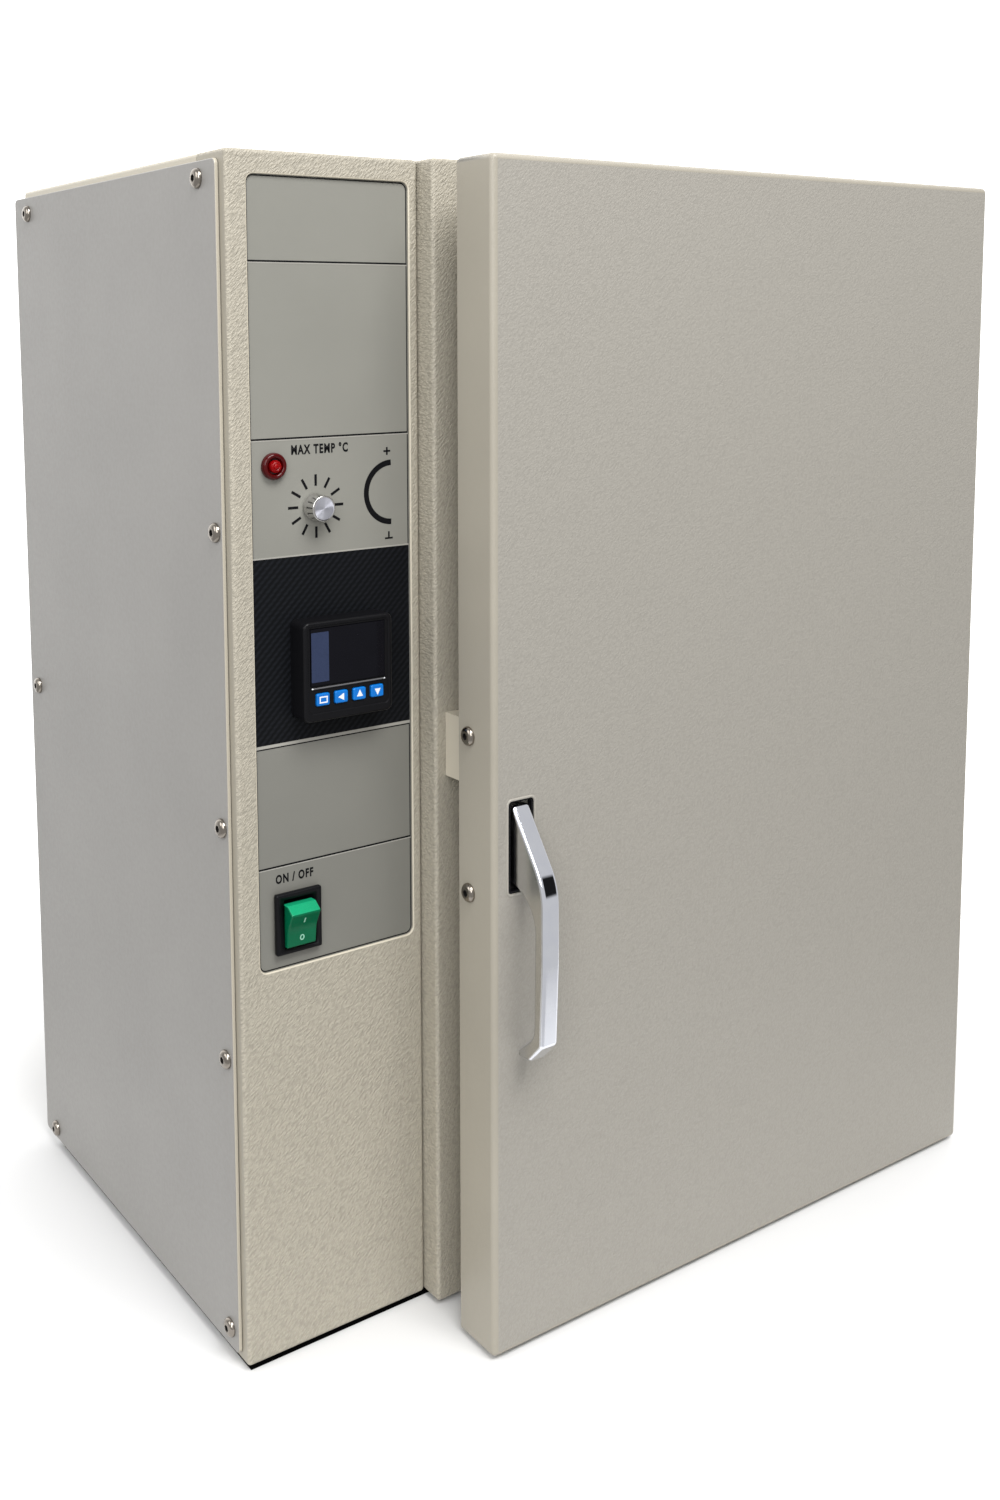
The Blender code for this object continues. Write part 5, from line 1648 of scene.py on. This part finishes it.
    def key(self, number: int, kind: KeySign, paint: Finishes) -> None:
        """One key with a crowned face, and the sign on it.

        Args:
            number: Which key it is.
            kind: What it shows.
            paint: The finishes.
        """
        node = f"controller_key_{number}"
        x, _, z = centre_of(node)
        mesh = new_mesh(node, box_slab(node, Side.FRONT, self.key_r, self.key_edge))
        add_piece(f"{node}_cap", mesh, paint.blue, f"key_{number}", (node,))
        face_y = box_mm(node)[0][1]
        sign = self.sign(kind, (x, z))
        marks(f"{node}_sign", sign, face_y, paint.white_print, f"key_{number}")

    def sign(self, kind: KeySign, centre: Pair) -> list[np.ndarray]:
        """A key's plain sign.

        Args:
            kind: What it shows.
            centre: The key's centre.

        Returns:
            The sign's outlines.
        """
        size, line, (x, z) = self.icon, self.icon_w, centre
        if kind is KeySign.FRAME:
            bars = [rectangle((x, z + s * size * 0.38), (size * 1.3, line)) for s in (-1, 1)]
            posts = [rectangle((x + s * size * 0.55, z), (line, size * 0.56)) for s in (-1, 1)]
            return bars + posts
        spokes = np.radians(kind.value + np.array([0.0, 125.0, 235.0]))
        return [np.array(centre) + size * 0.6 * np.stack([np.cos(spokes), np.sin(spokes)], -1)]


@dataclass
class RockerSwitch:
    """The mains rocker: its housing, its cap and the signs on it.

    Attributes:
        pivot: The y and z of the cap's axis.
        tilt_deg: How far the cap leans to the front at its upper end.
        ridge: How far the cap's ends stand in front of the axis and from its middle.
        middle: How far the cap's middle stands in front of the axis.
        sign_at: How far the signs are from the cap's middle.
        edge: The rounding of the cap's long edges.
        upper: The upper half of its side outline behind the ridge: y, z and rounding radius.
        hollow_r: The rounding of the hollow in its front.
        heel: The y and the rounding of its point behind.
        line: The width and height of the upper sign.
        oval: The half width and half height of the lower sign.
        oval_w: The width of the lower sign's line.
        sign_h: How thick the signs are.
        sign_lift: How far their backs are off the cap.
        top_light_normal: A face that looks up by more than this gets a lighter green that glows: painted
            light.
    """

    pivot: Pair = (2.5, 221.8)
    tilt_deg: float = 17.0
    ridge: Pair = (-9.2, 9.4)
    middle: float = -7.4
    sign_at: float = 5.0
    edge: float = 0.7
    upper: tuple[Triple, ...] = ((1.0, 9.9, 2.0), (-3.4, 11.3, 1.0))
    hollow_r: float = 14.0
    heel: Pair = (4.0, 6.0)
    line: Pair = (0.7, 3.0)
    oval: Pair = (1.25, 1.55)
    oval_w: float = 0.6
    sign_h: float = 0.05
    sign_lift: float = 0.03
    top_light_normal: float = 0.6

    def build(self, paint: Finishes) -> None:
        """Makes the cap and its signs, and dresses the housing."""
        smooth_copy("rocker_housing", paint.black)
        low, high = box_mm("rocker_cap")
        mesh = new_mesh("rocker", self.cap((low[0], high[0])))
        # Upward faces of the cap get the lighter, glowing green of painted light.
        second_where(mesh, normals_of(mesh)[:, 2] > self.top_light_normal)
        names, top_light = ("rocker_cap",), paint.green_painted_top_light
        add_piece("rocker_cap_lens", mesh, paint.green, "rocker", names, second=top_light)
        x = (low[0] + high[0]) / 2
        at = (x, 0.0, 0.0)
        line = slab(rectangle((0.0, 0.0), self.line), (0.0, self.sign_h), NO_EDGE, Side.FRONT, at)
        outer = arc((0.0, 360.0), 28)[:-1] * self.oval
        oval = ring(outer - unit(outer) * self.oval_w, outer, flat_section(self.sign_h), Side.FRONT, at)
        self.sign("rocker_on_sign", line, self.sign_at, paint)
        self.sign("rocker_off_sign", oval, -self.sign_at, paint)

    def cap(self, span: Pair) -> Surface:
        """The cap: its side outline, hollow in front and pointed behind, carried across and leant over."""
        forward, up = self.ridge
        upper = [*self.upper, (forward, up, 1.0)]
        lower = [(y, -z, r) for y, z, r in reversed(upper)]
        hollow, heel = (self.middle, 0.0, self.hollow_r), (self.heel[0], 0.0, self.heel[1])
        outline = rounded([*upper, hollow, *lower, heel], 8)
        shape = slab(outline, span, (self.edge, self.edge), Side.RIGHT, (0.0, *self.pivot))
        return lean(shape, self.pivot, self.tilt_deg)

    def sign(self, name: str, surface: Surface, at: float, paint: Finishes) -> None:
        """Lays a sign on the cap's slanted face.

        Args:
            name: The piece's name.
            surface: The sign round the origin, facing the front.
            at: How far up the cap's face it goes.
            paint: The finishes.
        """
        forward, up = self.ridge
        rise = (self.middle - forward) / up
        slope = math.degrees(math.atan(rise)) * math.copysign(1.0, at)
        sloped = lean(surface, (0.0, 0.0), slope)
        there = (0.0, self.pivot[0] + self.middle - rise * abs(at), self.pivot[1] + at)
        placed = Surface(sloped.points + there - (0.0, self.sign_lift, 0.0), sloped.faces)
        mesh = new_mesh(name, lean(placed, self.pivot, self.tilt_deg))
        add_piece(name, mesh, paint.pale_green, "rocker")


@dataclass
class Door:
    """The door's pan, inner panel, seal, hinges and fasteners.

    Attributes:
        edge_screw_y: How far back the two screws in the door's left edge are.
        edge_screw_z: Their heights.
        slot: The lever slot, as two corners.
        bead_w: The width of the rounded rim round the slot.
        bead_h: How far the rim stands off the door.
        bead_sink: How far it goes into the door.
        slot_r: The rounding of the slot's corners.
        leaf_screw: The hinge leaves' screws.
        leaf_screw_y: How far back they are on the cabinet and on the door.
        leaf_screw_share: How far up a leaf its two screws are, as shares of its height.
        leaf_t: How far a leaf's face is from the cabinet's side.
    """

    edge_screw_y: float = -43.5
    edge_screw_z: Pair = (312.0, 233.5)
    slot: tuple[Pair, Pair] = ((112.6, 236.1), (128.2, 282.2))
    bead_w: float = 1.3
    bead_h: float = 0.45
    bead_sink: float = 0.4
    slot_r: float = 2.0
    leaf_screw: ButtonScrew = ButtonScrew(2.7, 1.5, 1.9)
    leaf_screw_y: Pair = (-4.0, -48.0)
    leaf_screw_share: Pair = (0.27, 0.73)
    leaf_t: float = 2.2

    def build(self, paint: Finishes) -> None:
        """Dresses the door."""
        smooth_copy("door_pan", paint.door_edge, paint.door)
        smooth_copy("door_inner_panel", paint.steel)
        smooth_copy("door_gasket", paint.silicone)
        smooth_copy("slot_liner", paint.black)
        dress(paint.wool, "door_insulation")
        dress(paint.zinc, "latch_case", "lever_pin")
        low, _ = box_mm("door_pan")
        seats = [(low[0], self.edge_screw_y, z) for z in self.edge_screw_z]
        screw_set("door_edge_screw", ButtonScrew(), Side.LEFT, seats, "door", paint)
        self.bead(low[1], paint)
        self.hinges(paint)

    def bead(self, face_y: float, paint: Finishes) -> None:
        """The sheet's rounded rim round the lever slot."""
        low, high = np.array(self.slot)
        inner = rectangle((low + high) / 2, high - low, self.slot_r)
        outer = rectangle((low + high) / 2, high - low + 2 * self.bead_w, self.slot_r + self.bead_w)
        half = arc((180.0, 0.0), 8) * (0.5, self.bead_h) + (0.5, 0.0)
        section = np.vstack([(0.0, -self.bead_sink), half, (1.0, -self.bead_sink)])
        surface = ring(inner, outer, section, Side.FRONT, (0, face_y, 0))
        add_piece("slot_bead", new_mesh("slot_bead", surface), paint.door_satin, "door")

    def hinges(self, paint: Finishes) -> None:
        """Hinge leaves, pins and the small screws that hold the leaves."""
        leaf_x = box_mm("right_side_panel")[0][0] + self.leaf_t
        for end in ("lower", "upper"):
            dress(paint.wire, f"hinge_{end}_pin")
            for body, y in zip(("cabinet", "door"), self.leaf_screw_y):
                node = f"hinge_{end}_{body}_leaf"
                smooth_copy(node, paint.steel)
                low, high = box_mm(node)
                seats = [(leaf_x, y, low[2] + s * (high[2] - low[2])) for s in self.leaf_screw_share]
                screw_set(f"{node}_screw", self.leaf_screw, Side.RIGHT, seats, body, paint)


@dataclass
class PullLever:
    """The chrome lever with the latch roller.

    Attributes:
        corners: The lever's side outline: y, z and the rounding radius of each corner.
        edge: The rounding of its long edges.
        pivot: The y and z of its pin.
        pin_r: The radius of the pin's bore.
        axle_r: The radius of the bore for the roller's pin.
        roller: The y and z of the roller.
        fork_r: The radius of the slot that the roller turns in.
        fork_w: The width of that slot.
        bore_len: The length of the tools that cut the bores.
        side_normal: A face that looks sideways by more than this has the sides' finish.
    """

    corners: tuple[Triple, ...] = (
        (-62.6, 279.6, 2.4), (-86.4, 245.2, 34.0), (-86.6, 207.0, 60.0), (-85.0, 166.5, 3.2),
        (-75.5, 156.0, 4.0), (-66.4, 155.2, 1.8), (-66.6, 159.3, 1.8), (-78.4, 170.0, 10.0),
        (-79.2, 240.2, 19.0), (-56.0, 240.2, 3.0), (-49.0, 251.0, 6.0), (-48.4, 264.0, 4.0),
        (-41.6, 271.0, 3.0), (-41.6, 281.0, 3.5), (-50.5, 281.0, 3.0), (-53.0, 279.6, 2.4),
    )
    edge: float = 2.0
    pivot: Pair = (-56.0, 268.0)
    pin_r: float = 3.3
    axle_r: float = 1.8
    roller: Pair = (-46.0, 276.8)
    fork_r: float = 6.7
    fork_w: float = 6.2
    bore_len: float = 20.0
    # side_normal: A face that looks sideways by more than this has the sides' finish: rougher chrome, darker
    # as painted shade.
    side_normal: float = 0.85

    def build(self, paint: Finishes) -> None:
        """Makes the lever and dresses the latch."""
        low, high = box_mm("handle_lever")
        outline = rounded(self.corners, 14)
        shape = slab(outline, (low[0], high[0]), (self.edge, self.edge), Side.RIGHT, (0, 0, 0), 6)
        middle = (low[0] + high[0]) / 2
        bore = self.rod(self.pivot, self.pin_r, self.bore_len, middle)
        axle = self.rod(self.roller, self.axle_r, self.bore_len, middle)
        fork = self.rod(self.roller, self.fork_r, self.fork_w, middle)
        mesh = carved(new_mesh("chrome_lever", shape), bore, axle, fork)
        second_where(mesh, np.abs(normals_of(mesh)[:, 0]) > self.side_normal)
        names, side = ("handle_lever",), paint.chrome_shaded_sides
        add_piece("chrome_lever", mesh, paint.chrome, "handle", names, second=side)
        dress(paint.zinc, "roller_pin")
        dress(paint.white, "latch_roller")

    def rod(self, axis: Pair, radius: float, length: float, middle: float) -> Surface:
        """A closed round rod along X, through the axis's y and z, with its middle at an x."""
        profile = [(0.0, 0.0), (radius, 0.0), (radius, length), (0.0, length)]
        return turned(profile, Side.RIGHT, (middle - length / 2, *axis), 32)


@dataclass
class Chamber:
    """What shows when the door is open, and what lies behind it.

    Attributes:
        rail_r: The radius of a shelf's rail.
        wire_r: The radius of its wires.
        wires: How many wires it has.
        bend_r: The radius of the rail's corners.
        wire_lift: How far the wires' middle is above the rail's.
        brace_drop: How far the cross wire's middle is below it.
    """

    rail_r: float = 2.5
    wire_r: float = 1.5
    wires: int = 11
    bend_r: float = 8.0
    wire_lift: float = 1.2
    brace_drop: float = 0.9

    def build(self, paint: Finishes) -> None:
        """Makes the shelves and dresses the rest of the chamber."""
        smooth_copy("chamber_liner", paint.steel)
        runners = [f"runner_{level}_{side}" for level in ("lower", "upper") for side in ("left", "right")]
        dress(paint.steel, "air_baffle", *runners)
        smooth_copy("heater_element", paint.wire)
        smooth_copy("temperature_probe", paint.wire)
        smooth_copy("fan_wheel", paint.aluminium)
        dress(paint.wool, "chamber_insulation")
        dress(paint.zinc, "partition_wall", "fan_motor", "fan_shaft")
        for level in ("lower", "upper"):
            self.shelf(f"shelf_{level}", paint)

    def shelf(self, node: str, paint: Finishes) -> None:
        """A shelf: a rail bent round in a rectangle, wires from front to rear and one across under them."""
        low, high = box_mm(node)
        z = high[2] - self.wire_lift - self.wire_r
        low, high = low[:2] + self.rail_r, high[:2] - self.rail_r
        middle = (low + high) / 2
        path = np.insert(rectangle(middle, high - low, self.bend_r), 2, z, axis=1)
        surface = tube(path, self.rail_r, (0, 0, 1), closed=True)
        for x in np.linspace(low[0], high[0], self.wires + 2)[1:-1]:
            ends = np.array([(x, low[1], z + self.wire_lift), (x, high[1], z + self.wire_lift)])
            surface += tube(ends, self.wire_r, (0, 0, 1), sides=10)
        ends = np.array([(low[0], middle[1], z - self.brace_drop), (high[0], middle[1], z - self.brace_drop)])
        surface += tube(ends, self.wire_r, (0, 0, 1), sides=10)
        add_piece(f"{node}_wires", new_mesh(node, surface), paint.wire, "cabinet", (node,), 50.0)


@dataclass
class Services:
    """What is inside the column, and the mains inlet at the rear.

    Attributes:
        ear: How far the inlet's screws are from the ends of its flange.
        screw: The inlet's screws.
    """

    ear: float = 5.0
    screw: ButtonScrew = ButtonScrew(2.6, 1.4, 1.9)

    def build(self, paint: Finishes) -> None:
        """Dresses the services."""
        dress(paint.aluminium, "relay_heatsink")
        dress(paint.black, "solid_state_relay")
        dress(paint.white, "terminal_block", "thermostat_body", "lamp_holder")
        smooth_copy("power_inlet", paint.black)
        low, high = box_mm("power_inlet")
        z = (low[2] + high[2]) / 2
        seats = [(x, high[1], z) for x in (low[0] + self.ear, high[0] - self.ear)]
        screw_set("inlet_screw", self.screw, Side.REAR, seats, "cabinet", paint)


# Studio


@dataclass(frozen=True)
class Softbox:
    """A soft area light.

    Attributes:
        name: The light's name.
        place: Where it stands, in metres.
        target: What it points at.
        size: Its width and height.
        watts: Its power.
    """

    name: str
    place: Triple
    target: Triple
    size: Pair
    watts: float

    def build(self) -> None:
        """Makes the light."""
        light = bpy.data.lights.new(self.name, "AREA")
        light.shape = "RECTANGLE"
        light.size, light.size_y = self.size
        light.energy = self.watts
        holder = linked(self.name, light)
        holder.location = self.place
        holder.rotation_euler = (Vector(self.target) - Vector(self.place)).to_track_quat("-Z", "Y").to_euler()


@dataclass(frozen=True)
class Studio:
    """Pale floor, soft light and the camera at the photograph's place.

    Attributes:
        camera_mm: The camera's place from the datum.
        azimuth_deg: How far it looks to the right of straight back.
        drop_deg: How far it looks down.
        roll_deg: How far it is turned about its own axis.
        focal_px: Its focal length in pixels.
        principal_px: Where its axis meets the picture.
        picture_px: The picture's width and height.
        floor_low: The floor's front left corner in metres.
        floor_high: Its rear right corner.
        floor_fade: Where the floor starts to fade and where it is gone, as squares of the way to its edge.
        floor_grey: The floor's lightness.
        shadow_sheet_mm: The corners of the black sheet under the cabinet, from the datum: painted shadow for
            the gap below it.
        shadow_sheet_lift: How far that sheet lies above the floor, in millimetres.
        surround: The strength of the light from all round.
        backdrop_way: The way to the white backdrop behind.
        backdrop_cos: The cosines of the angles where the backdrop ends and where it is full.
        backdrop: How much brighter the backdrop is.
        flag_way: The way to the dark screen in front on the right.
        flag_cos: The cosines of the angles where the screen ends and where it is full.
        flag: How much of the light passes the screen.
        sensor_mm: The width of the camera's sensor.
        boxes: The soft boxes.
    """

    camera_mm: Triple = (-316.2, -615.2, 508.1)
    azimuth_deg: float = 34.014
    drop_deg: float = 6.294
    roll_deg: float = -0.415
    focal_px: float = 1500.0
    principal_px: Pair = (409.28, 494.05)
    picture_px: Pair = (1000.0, 1500.0)
    floor_low: Pair = (-0.62, -0.52)
    floor_high: Pair = (0.62, 0.56)
    floor_fade: Pair = (0.3, 0.95)
    floor_grey: float = 0.68
    shadow_sheet_mm: tuple[Pair, Pair] = ((2.0, 1.5), (467.0, 250.0))
    shadow_sheet_lift: float = 0.2
    surround: float = 0.55
    backdrop_way: Triple = (0.45, 0.85, 0.25)
    backdrop_cos: Pair = (0.35, 0.75)
    backdrop: float = 1.3
    flag_way: Triple = (0.55, -0.80, 0.17)
    flag_cos: Pair = (0.963, 0.98)
    flag: float = 0.02
    sensor_mm: float = 36.0
    boxes: tuple[Softbox, ...] = (
        Softbox("front_box", (-0.2, -1.2, 2.0), (0.0, 0.0, 0.35), (1.3, 0.85), 46.0),
        Softbox("corner_box", (-1.3, -1.3, 1.2), (0.0, 0.0, 0.35), (0.9, 1.2), 16.0),
        Softbox("left_box", (-1.8, 0.1, 1.3), (0.0, 0.0, 0.35), (1.0, 1.2), 10.0),
    )

    def build(self) -> None:
        """Makes the floor, the light and the camera."""
        self.floor()
        self.gap_shadow_sheet()
        self.world()
        for box in self.boxes:
            box.build()
        self.camera()

    def floor(self) -> None:
        """A pale floor under the object, which fades out by the square of the way to its edge."""
        lines = np.linspace(self.floor_low, self.floor_high, 3).T
        x, y = np.meshgrid(*lines, indexing="ij")
        mesh = new_mesh("floor", grid((np.stack([x, y, np.zeros_like(x)], -1) - DATUM) / MM))
        graph = Graph("pale_floor", (self.floor_grey,) * 3, 0.9)
        graph.mottle(graph.noise(graph.place(), 3.0), (self.floor_grey,) * 3, 0.02)
        low, high = np.array(self.floor_low), np.array(self.floor_high)
        arm = graph.vectors("SUBTRACT", graph.place(), (*((low + high) / 2).tolist(), 0.0))
        share = graph.vectors("DIVIDE", arm, (*((high - low) / 2).tolist(), 1.0))
        graph.put(Alpha=graph.span(graph.vectors("DOT_PRODUCT", share, share), self.floor_fade, (1.0, 0.0)))
        mesh.materials.append(graph.material)
        linked("floor", mesh)

    def gap_shadow_sheet(self) -> None:
        """A black sheet on the floor under the cabinet: painted shadow, seen only as the dark gap below it.
        """
        x, y = np.meshgrid(*np.linspace(*np.array(self.shadow_sheet_mm), 2).T, indexing="ij")
        height = np.full_like(x, self.shadow_sheet_lift - DATUM[2] / MM)
        mesh = new_mesh("gap_shadow_sheet", grid(np.stack([x, y, height], -1)))
        # Near black: painted shadow in the gap under the cabinet.
        mesh.materials.append(Moulding("painted_gap_shadow", (0.004, 0.004, 0.004), 0.9, shine=0.0).build())
        linked("gap_shadow_sheet", mesh)

    def world(self) -> None:
        """White to the eye; as light, an even room, a bright backdrop behind and a dark screen in front."""
        world = bpy.data.worlds.new("studio")
        world.use_nodes = True
        nodes = Nodes(world.node_tree)
        way = nodes.node("ShaderNodeTexCoord").outputs["Generated"]
        behind = nodes.vectors("DOT_PRODUCT", way, tuple(unit(np.array(self.backdrop_way))))
        strength = nodes.span(behind, self.backdrop_cos, (self.surround, self.surround + self.backdrop))
        toward = nodes.vectors("DOT_PRODUCT", way, tuple(unit(np.array(self.flag_way))))
        strength = nodes.maths("MULTIPLY", strength, nodes.span(toward, self.flag_cos, (1.0, self.flag)))
        seen = nodes.node("ShaderNodeLightPath").outputs["Is Camera Ray"]
        strength = nodes.maths("MAXIMUM", strength, seen)
        background = world.node_tree.nodes["Background"]
        background.inputs["Color"].default_value = (1.0, 1.0, 1.0, 1.0)
        nodes.feed(background.inputs["Strength"], strength)
        bpy.context.scene.world = world

    def camera(self) -> None:
        """The camera, whose axis is off the picture's middle by its shift."""
        data = bpy.data.cameras.new("photo_camera")
        long_side = max(self.picture_px)
        data.sensor_width = self.sensor_mm
        data.sensor_fit = "AUTO"
        data.lens = self.focal_px * data.sensor_width / long_side
        data.shift_x = (self.picture_px[0] / 2 - self.principal_px[0]) / long_side
        data.shift_y = (self.principal_px[1] - self.picture_px[1] / 2) / long_side
        data.clip_start = 0.02
        holder = linked("photo_camera", data)
        azimuth, drop = math.radians(self.azimuth_deg), math.radians(self.drop_deg)
        level = Matrix.Rotation(-azimuth, 4, "Z") @ Matrix.Rotation(math.pi / 2 - drop, 4, "X")
        turn = level @ Matrix.Rotation(math.radians(self.roll_deg), 4, "Z")
        place = Vector(DATUM) + Vector(self.camera_mm) * MM
        holder.matrix_world = Matrix.Translation(place) @ turn
        bpy.context.scene.camera = holder
        bpy.context.scene.view_settings.view_transform = "Standard"


def main() -> None:
    """Builds the studio and every sub-assembly, in order."""
    logging.basicConfig(level=logging.INFO, format="%(message)s")
    Studio().build()
    paint = Finishes()
    for assembly in (
        Casing(), ControlPlate(), Controller(), RockerSwitch(), Door(), PullLever(), Chamber(), Services(),
    ):
        LOG.info("building %s", type(assembly).__name__)
        assembly.build(paint)


if __name__ == "__main__":
    main()
